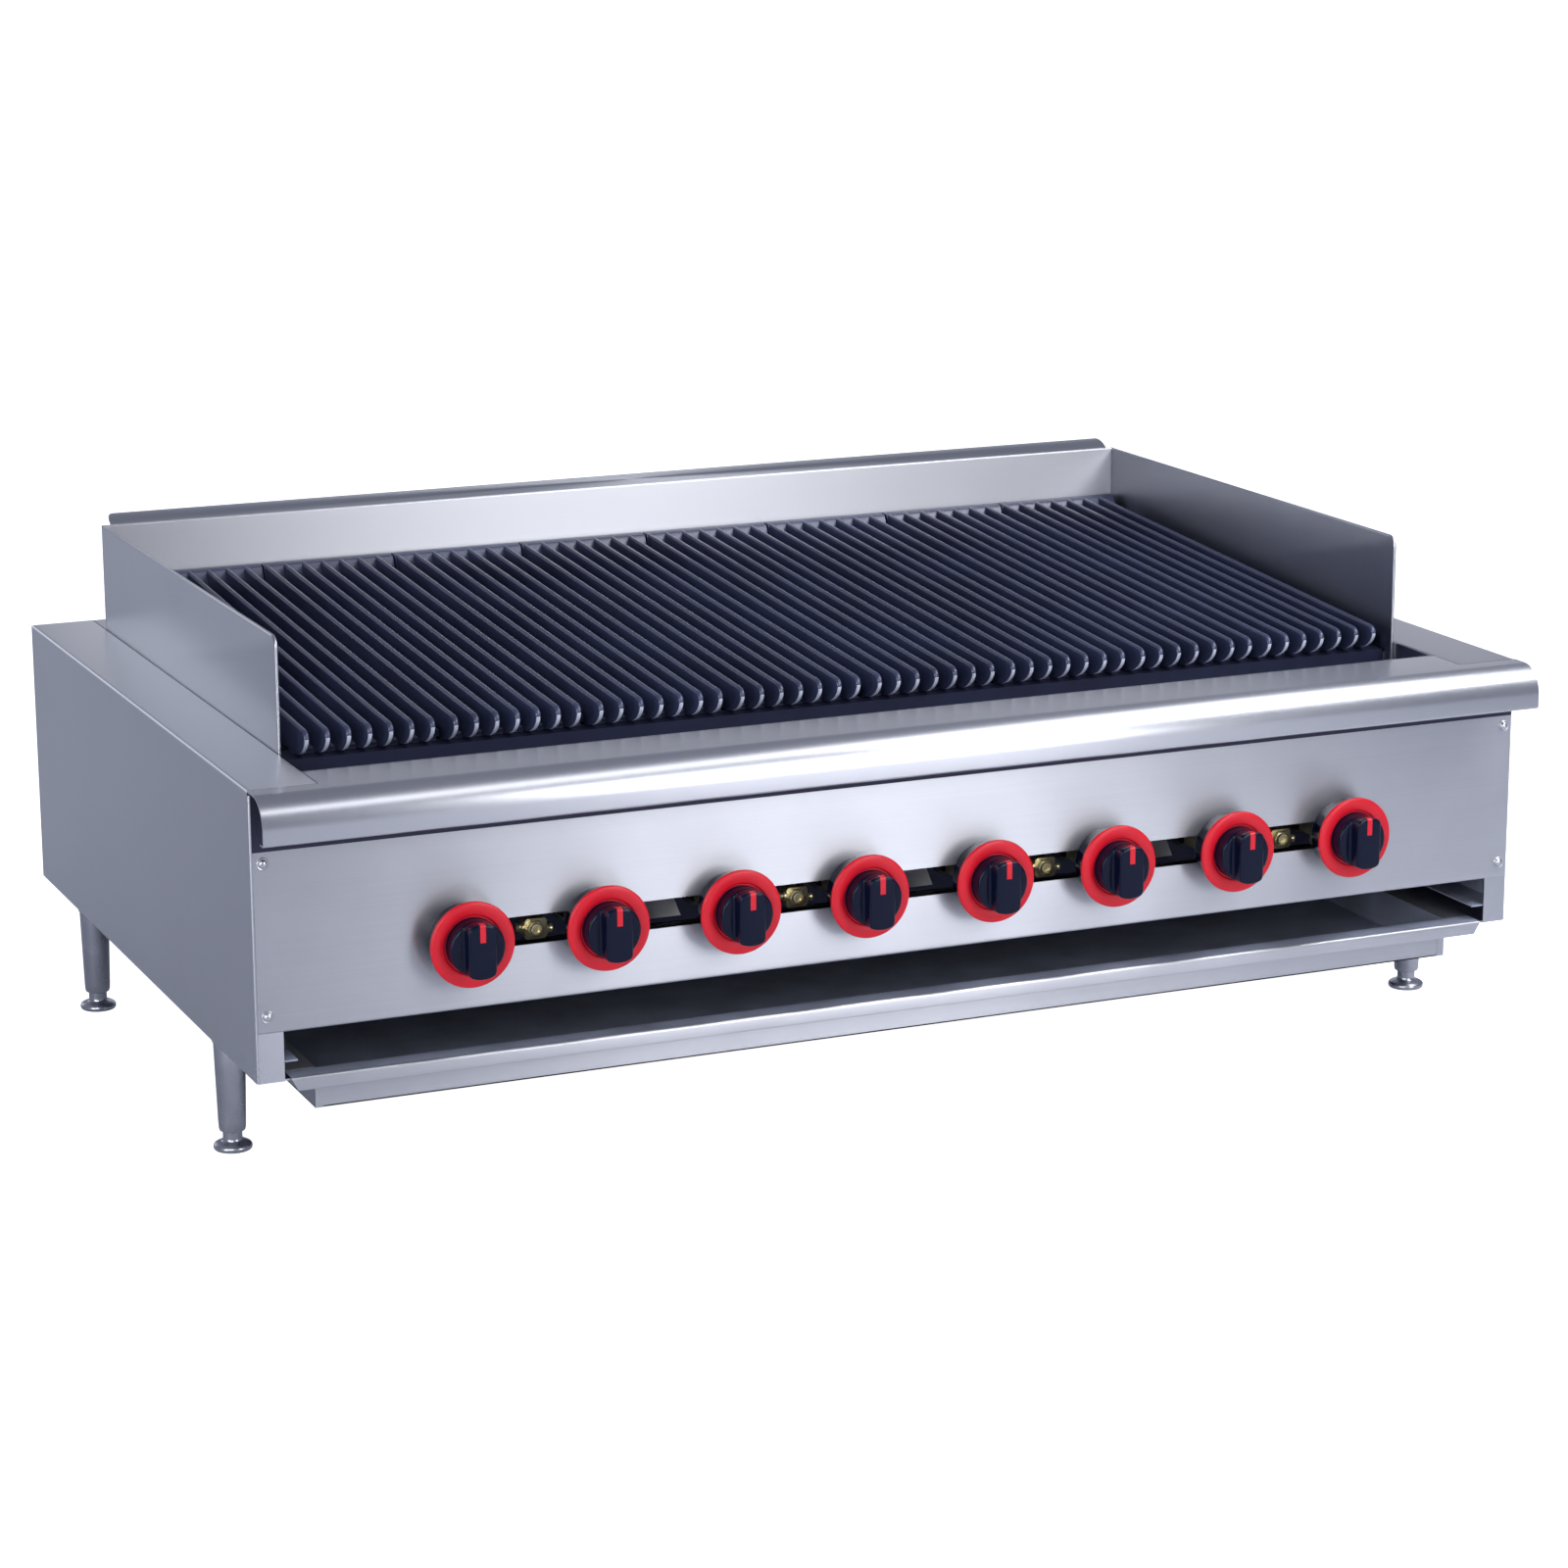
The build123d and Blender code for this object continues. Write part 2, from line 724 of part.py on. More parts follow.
save(rail(firebox_inside_front_y, rail_shelf, grate_rail_leg, grate_seat), "grate_rail_front")
save(rail(firebox_inside_back_y, -rail_shelf, grate_rail_leg, grate_seat), "grate_rail_rear")
save(rail(firebox_inside_front_y, rail_shelf, low_rail_leg, radiant_seat), "radiant_rail_front")
save(rail(firebox_inside_back_y, -rail_shelf, low_rail_leg, radiant_seat), "radiant_rail_rear")
save(rail(firebox_inside_back_y, -rail_shelf, low_rail_leg, burner_seat), "burner_rail_rear")

# Radiants: folded steel ridges over the burners, resting by their flanges on the radiant rails
radiant_z = base_z + radiant_rail_rise
radiant_back_y = firebox_inside_back_y - rail_sheet - radiant_end_gap
radiant_front_y = firebox_inside_front_y + rail_sheet + radiant_end_gap
radiant_width = knob_pitch - radiant_gap
with BuildPart() as radiants:
    with BuildSketch(Plane.XZ.offset(-radiant_back_y)):
        for x in burner_xs:
            bent_sheet(
                [
                    (x - radiant_width / 2, radiant_z),
                    (x - radiant_width / 2 + radiant_flange, radiant_z),
                    (x - radiant_crown / 2, radiant_z + radiant_height),
                    (x + radiant_crown / 2, radiant_z + radiant_height),
                    (x + radiant_width / 2 - radiant_flange, radiant_z),
                    (x + radiant_width / 2, radiant_z),
                ],
                0,
                radiant_sheet,
                Side.LEFT,
            )
    extrude(amount=radiant_back_y - radiant_front_y)
save(radiants.part, "radiants")

# Burners: cast bars with a bevelled crown, and a venturi tube through the firebox front to the valve's hood
burner_front_y = firebox_front_y + burner_front_gap
burner_back_y = firebox_inside_back_y - burner_back_gap
venturi_front_y = valve_end_y + valve_hood_length + venturi_front_gap
for index, x in enumerate(burner_xs, start=1):
    with BuildPart() as burner:
        with BuildSketch(Plane.XZ.offset(-burner_back_y)):
            with BuildLine():
                Polyline(
                    (x - burner_width / 2, knob_z - burner_half_height),
                    (x + burner_width / 2, knob_z - burner_half_height),
                    (x + burner_width / 2, knob_z + burner_half_height - burner_bevel),
                    (x + burner_crown / 2, knob_z + burner_half_height),
                    (x - burner_crown / 2, knob_z + burner_half_height),
                    (x - burner_width / 2, knob_z + burner_half_height - burner_bevel),
                    close=True,
                )
            make_face()
        extrude(amount=burner_back_y - burner_front_y)
        with BuildSketch(Plane.XZ.offset(-burner_front_y)):
            with Locations((x, knob_z)):
                RegularPolygon(venturi_radius, venturi_sides, major_radius=False, rotation=180 / venturi_sides)
        extrude(amount=burner_front_y - venturi_front_y)
        with BuildSketch(Plane.XZ.offset(-venturi_front_y)):
            with Locations((x, knob_z)):
                RegularPolygon(
                    venturi_radius - venturi_wall,
                    venturi_sides,
                    major_radius=False,
                    rotation=180 / venturi_sides,
                )
        extrude(amount=-venturi_bore_depth, mode=Mode.SUBTRACT)
        with BuildSketch(Plane.YZ.offset(x)):
            with Locations((venturi_front_y + venturi_window_setback, knob_z)):
                Rectangle(venturi_window, venturi_window_height, align=(Align.MIN, Align.CENTER))
        extrude(amount=burner_width, both=True, mode=Mode.SUBTRACT)
    save(burner.part, f"burner_{index}")

# Gas manifold: pipe behind the panel, a cast elbow at its right end, and a pipe back to the collared gas inlet
pipe_left_x = burner_xs[0] - manifold_end
inlet_y = back_y + inlet_reach
with BuildPart() as manifold_pipe:
    with BuildSketch(Plane.YZ.offset(pipe_left_x)):
        with Locations((manifold_y, manifold_z)):
            Circle(manifold_radius)
    extrude(amount=manifold_side_x - pipe_left_x)
    with BuildSketch(Plane.XZ.offset(-manifold_y)):
        with Locations((manifold_side_x, manifold_z)):
            Circle(manifold_radius)
    extrude(amount=-(inlet_y - manifold_y))
    with BuildSketch(Plane.XZ.offset(-back_y - inlet_collar_show)):
        with Locations((manifold_side_x, manifold_z)):
            Circle(inlet_collar_radius)
    extrude(amount=inlet_collar_length)
    with BuildSketch(Plane.XY.offset(manifold_z)) as elbow:
        with Locations((manifold_side_x, manifold_y)):
            Rectangle(elbow_width, elbow_width)
        chamfer(elbow.vertices(), elbow_chamfer)
    extrude(amount=elbow_width / 2, both=True)
    with BuildSketch(Plane.XZ.offset(-inlet_y)):
        with Locations((manifold_side_x, manifold_z)):
            Circle(manifold_radius - manifold_wall)
    extrude(amount=inlet_bore_depth, mode=Mode.SUBTRACT)
save(manifold_pipe.part, "manifold_pipe")

# Manifold brackets: feet on the front panel's return flange, each with a notched web under the pipe
bracket_z = front_panel_bottom_z + sheet
with BuildPart() as manifold_brackets:
    for x in spread(bracket_count, bracket_bays * knob_pitch):
        with BuildSketch(Plane.XY.offset(bracket_z)):
            with Locations((x, front_y + bend_radius)):
                Rectangle(
                    bracket_width,
                    manifold_y + bracket_overrun - front_y - bend_radius,
                    align=(Align.CENTER, Align.MIN),
                )
        extrude(amount=bracket_sheet)
        with BuildSketch(Plane.YZ.offset(x)):
            with Locations((manifold_y, bracket_z)):
                Rectangle(
                    2 * bracket_overrun,
                    manifold_z - saddle_wrap - bracket_z,
                    align=(Align.CENTER, Align.MIN),
                )
            with Locations((manifold_y, manifold_z)):
                RegularPolygon(manifold_radius + saddle_fit, notch_sides, major_radius=False, mode=Mode.SUBTRACT)
        extrude(amount=bracket_sheet / 2, both=True)
save(manifold_brackets.part, "manifold_brackets")

# Gas valves: brass blocks on the manifold, each with a bore for its stem and an orifice hood behind
with BuildPart() as gas_valves:
    for x in burner_xs:
        with BuildSketch(Plane.XZ.offset(-valve_y)):
            with Locations((x, knob_z)):
                Rectangle(valve_width, valve_height)
        extrude(amount=-valve_length)
        with BuildSketch(Plane.XZ.offset(-valve_end_y)):
            with Locations((x, knob_z)):
                RegularPolygon(valve_hood_width / 2, 6)
        extrude(amount=-valve_hood_length)
        with BuildSketch(Plane.XY.offset(manifold_z + manifold_radius + saddle_fit)):
            with Locations((x, manifold_y)):
                Rectangle(valve_inlet_width, valve_inlet_width)
        extrude(amount=knob_z - manifold_z - manifold_radius - saddle_fit)
    with BuildSketch(Plane.XZ.offset(-valve_y)):
        with Locations(*[(x, knob_z) for x in burner_xs]):
            Circle(stem_radius + stem_fit)
    extrude(amount=-valve_bore_depth, mode=Mode.SUBTRACT)
save(gas_valves.part, "gas_valves")

# Bezels: flared collars on the front panel, one round each knob
with BuildPart() as bezels:
    for x in burner_xs:
        with BuildSketch(Plane((x, front_y, knob_z), x_dir=(1, 0, 0), z_dir=(0, 0, 1))):
            with BuildLine():
                Polyline(
                    (bezel_bore_radius, 0),
                    (bezel_foot_radius, 0),
                    (bezel_outer_radius, -bezel_reach),
                    (bezel_bore_radius, -bezel_reach),
                    close=True,
                )
            make_face()
        revolve(axis=Axis((x, front_y, knob_z), (0, 1, 0)))
save(bezels.part, "bezels")

# Knobs: discs with a full-width grip bar across the front, each on its valve stem
stem_back_y = valve_y + valve_bore_depth - stem_end_gap
disc_back_y = front_y - knob_disc_back
disc_front_y = front_y - knob_disc_front
for index, x in enumerate(burner_xs, start=1):
    with BuildPart() as knob:
        with BuildSketch(Plane.XZ.offset(-disc_back_y)):
            with Locations((x, knob_z)):
                Circle(knob_radius)
        extrude(amount=disc_back_y - disc_front_y)
        with BuildSketch(Plane.XZ.offset(-disc_front_y)):
            with Locations((x, knob_z)):
                Circle(knob_radius)
                Rectangle(grip_width, 2 * knob_radius, mode=Mode.INTERSECT)
        extrude(amount=knob_reach - knob_disc_front)
        with BuildSketch(Plane.XZ.offset(-disc_back_y)):
            with Locations((x, knob_z)):
                Circle(stem_radius)
        extrude(amount=-(stem_back_y - disc_back_y))
    save(knob.part, f"knob_{index}")

# Pilot valves: small brass bodies on the manifold, seen through the slot between the knobs of each pair
pilot_y = manifold_y - pilot_body_depth / 2
with BuildPart() as pilot_valves:
    for x in pilot_xs:
        with BuildSketch(Plane.XZ.offset(-pilot_y)):
            with Locations((x, pilot_z)):
                Rectangle(pilot_body_width, pilot_body_height)
        extrude(amount=-pilot_body_depth)
        with BuildSketch(Plane.XZ.offset(-pilot_y)):
            with Locations((x, pilot_z)):
                RegularPolygon(pilot_nut_width / 2, 6, major_radius=False)
        extrude(amount=pilot_nut_length)
        with BuildSketch(Plane.XY.offset(manifold_z + manifold_radius + saddle_fit)):
            with Locations((x, manifold_y)):
                Rectangle(pilot_stub_width, pilot_stub_width)
        extrude(amount=pilot_z - manifold_z - manifold_radius - saddle_fit)
save(pilot_valves.part, "pilot_valves")

# Pilot tubes: straight runs from the pilot valves through the firebox front, between the burners
with BuildPart() as pilot_tubes:
    with BuildSketch(Plane.XZ.offset(-pilot_y - pilot_body_depth)):
        with Locations(*[(x, pilot_z) for x in pilot_xs]):
            Circle(pilot_tube_radius)
    extrude(amount=-(front_y + pilot_tube_back_setback - pilot_y - pilot_body_depth))
save(pilot_tubes.part, "pilot_tubes")

# Slot baffles: folded sheets on the firebox front, in the slot between one pair of knobs and the next
baffle_y = manifold_y + manifold_radius + baffle_pipe_gap + baffle_sheet
baffle_bottom_z = knob_z - baffle_drop
baffle_top_z = baffle_bottom_z + baffle_height
with BuildPart() as slot_baffles:
    for x in spread(pilot_count - 1, 2 * knob_pitch):
        baffle_end_x = x + baffle_width
        with BuildSketch(Plane.XY.offset(baffle_bottom_z)):
            bent_sheet(
                [
                    (x - baffle_foot, firebox_front_y),
                    (x, firebox_front_y),
                    (x, baffle_y),
                    (baffle_end_x, baffle_y),
                ],
                0,
                baffle_sheet,
                Side.RIGHT,
            )
        extrude(amount=baffle_height)
        with BuildSketch(Plane.XZ.offset(-baffle_y)):
            with BuildLine():
                Polyline(
                    (baffle_end_x, baffle_bottom_z),
                    (baffle_end_x, baffle_top_z),
                    (baffle_end_x - baffle_slant, baffle_top_z),
                    close=True,
                )
            make_face()
        extrude(amount=baffle_sheet, mode=Mode.SUBTRACT)
save(slot_baffles.part, "slot_baffles")
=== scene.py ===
"""Looks of the countertop gas charbroiler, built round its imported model.

Metres. +X is to the right, +Y to the back, +Z up, and the origin is on the floor under the middle.
"""
import math

import bmesh
import bpy
import numpy as np
from mathutils import Matrix, Vector


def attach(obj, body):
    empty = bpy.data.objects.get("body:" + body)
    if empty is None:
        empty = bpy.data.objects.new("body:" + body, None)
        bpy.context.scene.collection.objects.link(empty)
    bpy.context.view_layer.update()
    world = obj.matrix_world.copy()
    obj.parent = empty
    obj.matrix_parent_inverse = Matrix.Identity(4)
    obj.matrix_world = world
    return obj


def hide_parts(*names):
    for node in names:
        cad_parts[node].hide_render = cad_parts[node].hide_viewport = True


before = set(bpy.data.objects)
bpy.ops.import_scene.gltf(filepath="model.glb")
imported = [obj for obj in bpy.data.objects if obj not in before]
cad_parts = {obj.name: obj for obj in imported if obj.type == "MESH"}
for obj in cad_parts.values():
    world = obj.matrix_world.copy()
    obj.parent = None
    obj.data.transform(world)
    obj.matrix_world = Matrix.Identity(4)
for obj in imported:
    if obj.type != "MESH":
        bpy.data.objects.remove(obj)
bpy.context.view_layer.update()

# Studio: a floor that fills the view, a sky that lights evenly from all round, and seven soft lamps. Only to
# the camera are floor and sky white: for the piece they are pale paper and a dim cool light.
scene = bpy.context.scene
scene.view_settings.view_transform = "Standard"

camera_data = bpy.data.cameras.new("camera")
camera_data.sensor_fit = "HORIZONTAL"
camera_data.sensor_width = 36.0
camera_data.lens = 95.80
camera = bpy.data.objects.new("camera", camera_data)
camera.location = (-1.5312, -3.5535, 1.1775)
camera_yaw = 0.4120
camera_dip = 0.2432
camera_roll = -0.0038
camera_turn = Matrix.Rotation(-camera_yaw, 3, "Z") @ Matrix.Rotation(math.pi / 2 - camera_dip, 3, "X")
camera.rotation_euler = (camera_turn @ Matrix.Rotation(camera_roll, 3, "Z")).to_euler()
scene.collection.objects.link(camera)
scene.camera = camera

world = bpy.data.worlds.new("studio")
scene.world = world
world.use_nodes = True
sky = world.node_tree.nodes
sky.clear()
world_out = sky.new("ShaderNodeOutputWorld")
sky_mix = sky.new("ShaderNodeMixShader")
sky_light = sky.new("ShaderNodeBackground")
sky_light.inputs["Color"].default_value = (0.76, 0.81, 1.0, 1)
sky_light.inputs["Strength"].default_value = 0.34
sky_white = sky.new("ShaderNodeBackground")
sky_white.inputs["Strength"].default_value = 1.0
sky_path = sky.new("ShaderNodeLightPath")
sky_wire = world.node_tree.links.new
sky_wire(sky_path.outputs["Is Camera Ray"], sky_mix.inputs["Fac"])
sky_wire(sky_light.outputs[0], sky_mix.inputs[1])
sky_wire(sky_white.outputs[0], sky_mix.inputs[2])
sky_wire(sky_mix.outputs[0], world_out.inputs["Surface"])

floor_half = 40.0
floor_corners = [(x * floor_half, y * floor_half, 0) for x, y in ((-1, -1), (1, -1), (1, 1), (-1, 1))]
floor_mesh = bpy.data.meshes.new("floor")
floor_mesh.from_pydata(floor_corners, [], [(0, 1, 2, 3)])
floor = bpy.data.objects.new("floor", floor_mesh)
scene.collection.objects.link(floor)
floor_paint = bpy.data.materials.new("floor_paper")
floor_paint.use_nodes = True
paper = floor_paint.node_tree.nodes
paper.clear()
paper_out = paper.new("ShaderNodeOutputMaterial")
paper_mix = paper.new("ShaderNodeMixShader")
paper_matt = paper.new("ShaderNodeBsdfDiffuse")
paper_matt.inputs["Color"].default_value = (0.70, 0.72, 0.78, 1)
paper_add = paper.new("ShaderNodeAddShader")
paper_glow = paper.new("ShaderNodeEmission")
paper_glow.inputs["Strength"].default_value = 1.0
paper_path = paper.new("ShaderNodeLightPath")
paper_wire = floor_paint.node_tree.links.new
paper_wire(paper_path.outputs["Is Camera Ray"], paper_mix.inputs["Fac"])
paper_wire(paper_matt.outputs[0], paper_mix.inputs[1])
paper_wire(paper_matt.outputs[0], paper_add.inputs[0])
paper_wire(paper_glow.outputs[0], paper_add.inputs[1])
paper_wire(paper_add.outputs[0], paper_mix.inputs[2])
paper_wire(paper_mix.outputs[0], paper_out.inputs["Surface"])
floor_mesh.materials.append(floor_paint)


def softbox(name, place, aim, width, height, power, tint):
    """Rectangular lamp at place, turned so that its face looks at aim."""
    data = bpy.data.lights.new(name, "AREA")
    data.shape = "RECTANGLE"
    data.size = width
    data.size_y = height
    data.energy = power
    data.color = tint
    lamp = bpy.data.objects.new(name, data)
    lamp.location = place
    lamp.rotation_euler = (Vector(aim) - Vector(place)).to_track_quat("-Z", "Y").to_euler()
    lamp.visible_camera = False
    scene.collection.objects.link(lamp)


white = (1.0, 1.0, 1.0)
cool_white = (0.92, 0.95, 1.0)
softbox("lamp_front", (0.90, -2.6, 0.95), (0.0, -0.35, 0.25), 0.80, 1.7, 22, white)
softbox("lamp_top", (1.0, -1.0, 2.7), (0.1, -0.3, 0.35), 3.0, 0.6, 15, white)
softbox("lamp_back", (1.4, 3.2, 1.0), (0.1, 0.0, 0.35), 2.8, 1.2, 4, white)
softbox("lamp_behind_left", (-1.6, 3.2, 0.95), (0.1, 0.0, 0.35), 1.6, 1.5, 6.2, cool_white)
softbox("lamp_left", (-2.9, -1.9, 0.8), (0.0, 0.0, 0.3), 0.9, 1.4, 29, white)
softbox("lamp_camera_side", (-2.0, -3.2, 1.5), (0.0, 0.0, 0.3), 1.0, 1.0, 31, white)
softbox("lamp_right_high", (0.95, -0.80, 1.30), (0.35, 0.33, 0.4), 0.95, 0.5, 12, white)


# Brushed stainless sheet: neutral cold-rolled steel with a fine straight grain along one axis, faint cloudy
# marks from handling, and a satin shine.
def new_material(name):
    """Material with its plain shader: the material, its node tree, the shader, and the socket that gives each
    point's place on the piece."""
    material = bpy.data.materials.new(name)
    material.use_nodes = True
    tree = material.node_tree
    place = tree.nodes.new("ShaderNodeTexCoord").outputs["Object"]
    return material, tree, tree.nodes["Principled BSDF"], place


def noise(tree, place, scale, detail=2.0, roughness=0.5):
    """Socket with a noise over the places, finer as its scale goes up."""
    texture = tree.nodes.new("ShaderNodeTexNoise")
    texture.inputs["Scale"].default_value = scale
    texture.inputs["Detail"].default_value = detail
    texture.inputs["Roughness"].default_value = roughness
    tree.links.new(place, texture.inputs["Vector"])
    return texture.outputs["Fac"]


def shade(colour, factor):
    """Colour times a factor."""
    return [channel * factor for channel in colour]


def vary(tree, driver, colours, roughnesses, span=(0.0, 1.0)):
    """Colour and roughness that go from their first value to their second as the driver crosses the span."""
    shader = tree.nodes["Principled BSDF"]
    tone = tree.nodes.new("ShaderNodeValToRGB")
    for stop, position, colour in zip(tone.color_ramp.elements, span, colours):
        stop.position = position
        stop.color = (*colour, 1)
    shine = tree.nodes.new("ShaderNodeMapRange")
    shine.inputs["From Min"].default_value, shine.inputs["From Max"].default_value = span
    shine.inputs["To Min"].default_value, shine.inputs["To Max"].default_value = roughnesses
    tree.links.new(driver, tone.inputs["Fac"])
    tree.links.new(driver, shine.inputs["Value"])
    tree.links.new(tone.outputs["Color"], shader.inputs["Base Color"])
    tree.links.new(shine.outputs[0], shader.inputs["Roughness"])


def emboss(tree, height, strength, distance):
    """Shading of a surface that rises by the distance as the height goes from 0 to 1, mixed in by strength."""
    relief = tree.nodes.new("ShaderNodeBump")
    relief.inputs["Strength"].default_value = strength
    relief.inputs["Distance"].default_value = distance
    tree.links.new(height, relief.inputs["Height"])
    tree.links.new(relief.outputs[0], tree.nodes["Principled BSDF"].inputs["Normal"])


def brushed_steel(name, grain, tint, roughness, smear=0.0, on_map=False, grit=0.03):
    """Metal whose height follows streaks, a noise stretched along the grain axis. Its colour and roughness
    follow a share of the streaks plus a cloud. Smear draws reflections out across the grain, which on_map
    reads from the piece's own map. Grit is how far the colour moves either way, and four times how far the
    roughness does."""
    steel, tree, shader, place = new_material(name)
    shader.inputs["Metallic"].default_value = 1.0
    shader.inputs["Anisotropic"].default_value = smear
    shader.inputs["Anisotropic Rotation"].default_value = 0.25
    along, across, streak_share = 3.0, 650.0, 0.35
    stretch = tree.nodes.new("ShaderNodeMapping")
    stretch.inputs["Scale"].default_value = [along if axis == grain else across for axis in "xyz"]
    tree.links.new(place, stretch.inputs["Vector"])
    streaks = noise(tree, stretch.outputs[0], scale=1.0, detail=3.0, roughness=0.65)
    clouds = noise(tree, place, scale=4.5, detail=5.0, roughness=0.6)
    blend = tree.nodes.new("ShaderNodeMath")
    blend.operation = "MULTIPLY_ADD"
    blend.inputs[1].default_value = streak_share
    tree.links.new(streaks, blend.inputs[0])
    tree.links.new(clouds, blend.inputs[2])
    tints = shade(tint, 1 - grit), shade(tint, 1 + grit)
    vary(tree, blend.outputs[0], tints, (roughness - grit / 4, roughness + grit / 4), span=(0.42, 0.92))
    emboss(tree, streaks, strength=0.008, distance=0.0001)
    if on_map:
        brushing = tree.nodes.new("ShaderNodeTangent")
        brushing.direction_type = "UV_MAP"
        brushing.uv_map = "grain"
        tree.links.new(brushing.outputs[0], shader.inputs["Tangent"])
    return steel


steel_tint = (0.52, 0.53, 0.575)


# Back panel and back splash guard: folded stainless sheets, brushed across and spot-welded in place. The
# panel closes the cabinet behind, and the guard stands in the deck opening behind the grates.
def finish_node(node, material):
    """Give a carried-over solid its finish."""
    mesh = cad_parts[node].data
    mesh.materials.clear()
    mesh.materials.append(material)


steel_back = brushed_steel("brushed_steel_back", "x", steel_tint, 0.32)
finish_node("back_panel", steel_back)
finish_node("splash_back", brushed_steel("brushed_steel_back_guard", "x", steel_tint, 0.42, smear=0.85))


# Side panels: each one stainless sheet, folded round into the front post and the rear edge, and over at the
# top into the strip of deck that the splash guard stands against. A base flange is folded in below.
def folded_profile(corners, radii, thickness, arc_steps=10):
    """Closed outline of a folded sheet: the corners joined by straight runs, each corner replaced by an arc
    of its radius, then the same line moved by the thickness to its left and walked back."""
    skin = [np.array(corners[0])]
    for before, corner, after, radius in zip(corners[:-2], corners[1:-1], corners[2:], radii):
        corner = np.array(corner)
        inward = (np.array(before) - corner) / np.linalg.norm(np.array(before) - corner)
        outward = (np.array(after) - corner) / np.linalg.norm(np.array(after) - corner)
        half_angle = math.acos(np.clip(inward @ outward, -1, 1)) / 2
        reach = radius / math.tan(half_angle)
        bisector = (inward + outward) / np.linalg.norm(inward + outward)
        centre = corner + bisector * radius / math.sin(half_angle)
        start, end = corner + inward * reach - centre, corner + outward * reach - centre
        sweep = math.pi - 2 * half_angle
        t = np.linspace(0, 1, arc_steps + 1)[:, None]
        skin.extend(centre + (np.sin((1 - t) * sweep) * start + np.sin(t * sweep) * end) / math.sin(sweep))
    skin.append(np.array(corners[-1]))
    skin = np.array(skin)
    runs = np.diff(skin, axis=0)
    runs /= np.linalg.norm(runs, axis=1)[:, None]
    sides = np.stack([-runs[:, 1], runs[:, 0]], 1)
    first, last = np.vstack([sides[:1], sides]), np.vstack([sides, sides[-1:]])
    shift = (first + last) / (1 + np.sum(first * last, axis=1))[:, None]
    return np.vstack([skin, (skin + shift * thickness)[::-1]])


def carried(outline, axis, start, end):
    """Closed outline, drawn in the plane across an axis, at its start and at its end along that axis."""
    rings = np.zeros((2, len(outline), 3))
    rings[..., [i for i in range(3) if i != "xyz".index(axis)]] = outline
    rings[:, :, "xyz".index(axis)] = [[start], [end]]
    return rings


def skin_over(rings, finish=0):
    """Points and faces over a stack of closed rings, of shape (rings, points, 3): a quad joins each pair of
    neighbouring points on neighbouring rings, and a many-sided face closes each end. The finish of its faces
    is a place in the piece's list of materials."""
    count, points, _ = rings.shape
    index = np.arange(count * points).reshape(count, points)
    low, high = index[:-1], index[1:]
    quads = np.stack([low, np.roll(low, -1, 1), np.roll(high, -1, 1), high], -1).reshape(-1, 4)
    faces = quads.tolist() + [index[0][::-1].tolist(), index[-1].tolist()]
    return rings.reshape(-1, 3), faces, [finish] * len(faces)


def plate(low, high, finish=0):
    """Flat plate between two opposite corners: a rectangle in the YZ plane carried along X."""
    (x0, y0, z0), (x1, y1, z1) = low, high
    return skin_over(carried(np.array([(y0, z0), (y1, z0), (y1, z1), (y0, z1)]), "x", x0, x1), finish)


def build_piece(name, skins, materials, sharp_angle=32, grain="x"):
    """One object from several closed skins, with its faces turned outwards and shaded smooth up to an angle.
    Its map lays U along the grain and V across it, both slanted so that no flat face becomes a line on it."""
    points, faces, finishes = [], [], []
    for skin_points, skin_faces, skin_finish in skins:
        base = sum(len(p) for p in points)
        points.append(skin_points)
        faces.extend([[corner + base for corner in face] for face in skin_faces])
        finishes.extend(skin_finish)
    mesh = bpy.data.meshes.new(name)
    mesh.from_pydata(np.concatenate(points).tolist(), [], faces)
    mesh.polygons.foreach_set("material_index", finishes)
    work = bmesh.new()
    work.from_mesh(mesh)
    bmesh.ops.recalc_face_normals(work, faces=work.faces)
    work.to_mesh(mesh)
    work.free()
    corners = np.zeros(len(mesh.loops), np.int64)
    mesh.loops.foreach_get("vertex_index", corners)
    x, y, z = np.concatenate(points)[corners].T
    along, beside = (x, y) if grain == "x" else (y, x)
    grain_slant, face_slant = 0.01, 0.7
    grain_map = np.stack([along + grain_slant * beside, z + face_slant * beside], 1)
    mesh.uv_layers.new(name="grain").data.foreach_set("uv", grain_map.ravel())
    mesh.shade_smooth()
    mesh.set_sharp_from_angle(angle=math.radians(sharp_angle))
    for material in materials:
        mesh.materials.append(material)
    made = bpy.data.objects.new(name, mesh)
    scene.collection.objects.link(made)
    return made


cabinet_half = 0.610
opening_half = 0.549
cabinet_front = -0.3525
cabinet_back = 0.3785
base_height = 0.102
deck_height = 0.354
sheet = 0.0015
bend = 0.0025
post_width = 0.024
rear_fold = 0.012
base_fold = 0.045
strip_fold = 0.020
strip_bend = 0.0018
panel_back = cabinet_front + sheet
wall_back = cabinet_back - sheet
wall_top = deck_height - 0.0045
wall_outline = folded_profile(
    [
        (-cabinet_half + post_width, panel_back),
        (-cabinet_half, panel_back),
        (-cabinet_half, wall_back),
        (-cabinet_half + rear_fold, wall_back),
    ],
    [bend, bend],
    -sheet,
)
strip_outline = folded_profile(
    [
        (-opening_half, deck_height - strip_fold),
        (-opening_half, deck_height),
        (-cabinet_half, deck_height),
        (-cabinet_half, wall_top),
    ],
    [strip_bend, bend],
    sheet,
)
left_skins = [
    skin_over(carried(wall_outline, "z", base_height, wall_top)),
    skin_over(carried(strip_outline, "y", panel_back, wall_back)),
    plate(
        (-cabinet_half + sheet, panel_back + sheet, base_height),
        (-cabinet_half + base_fold, wall_back - sheet, base_height + sheet),
    ),
]
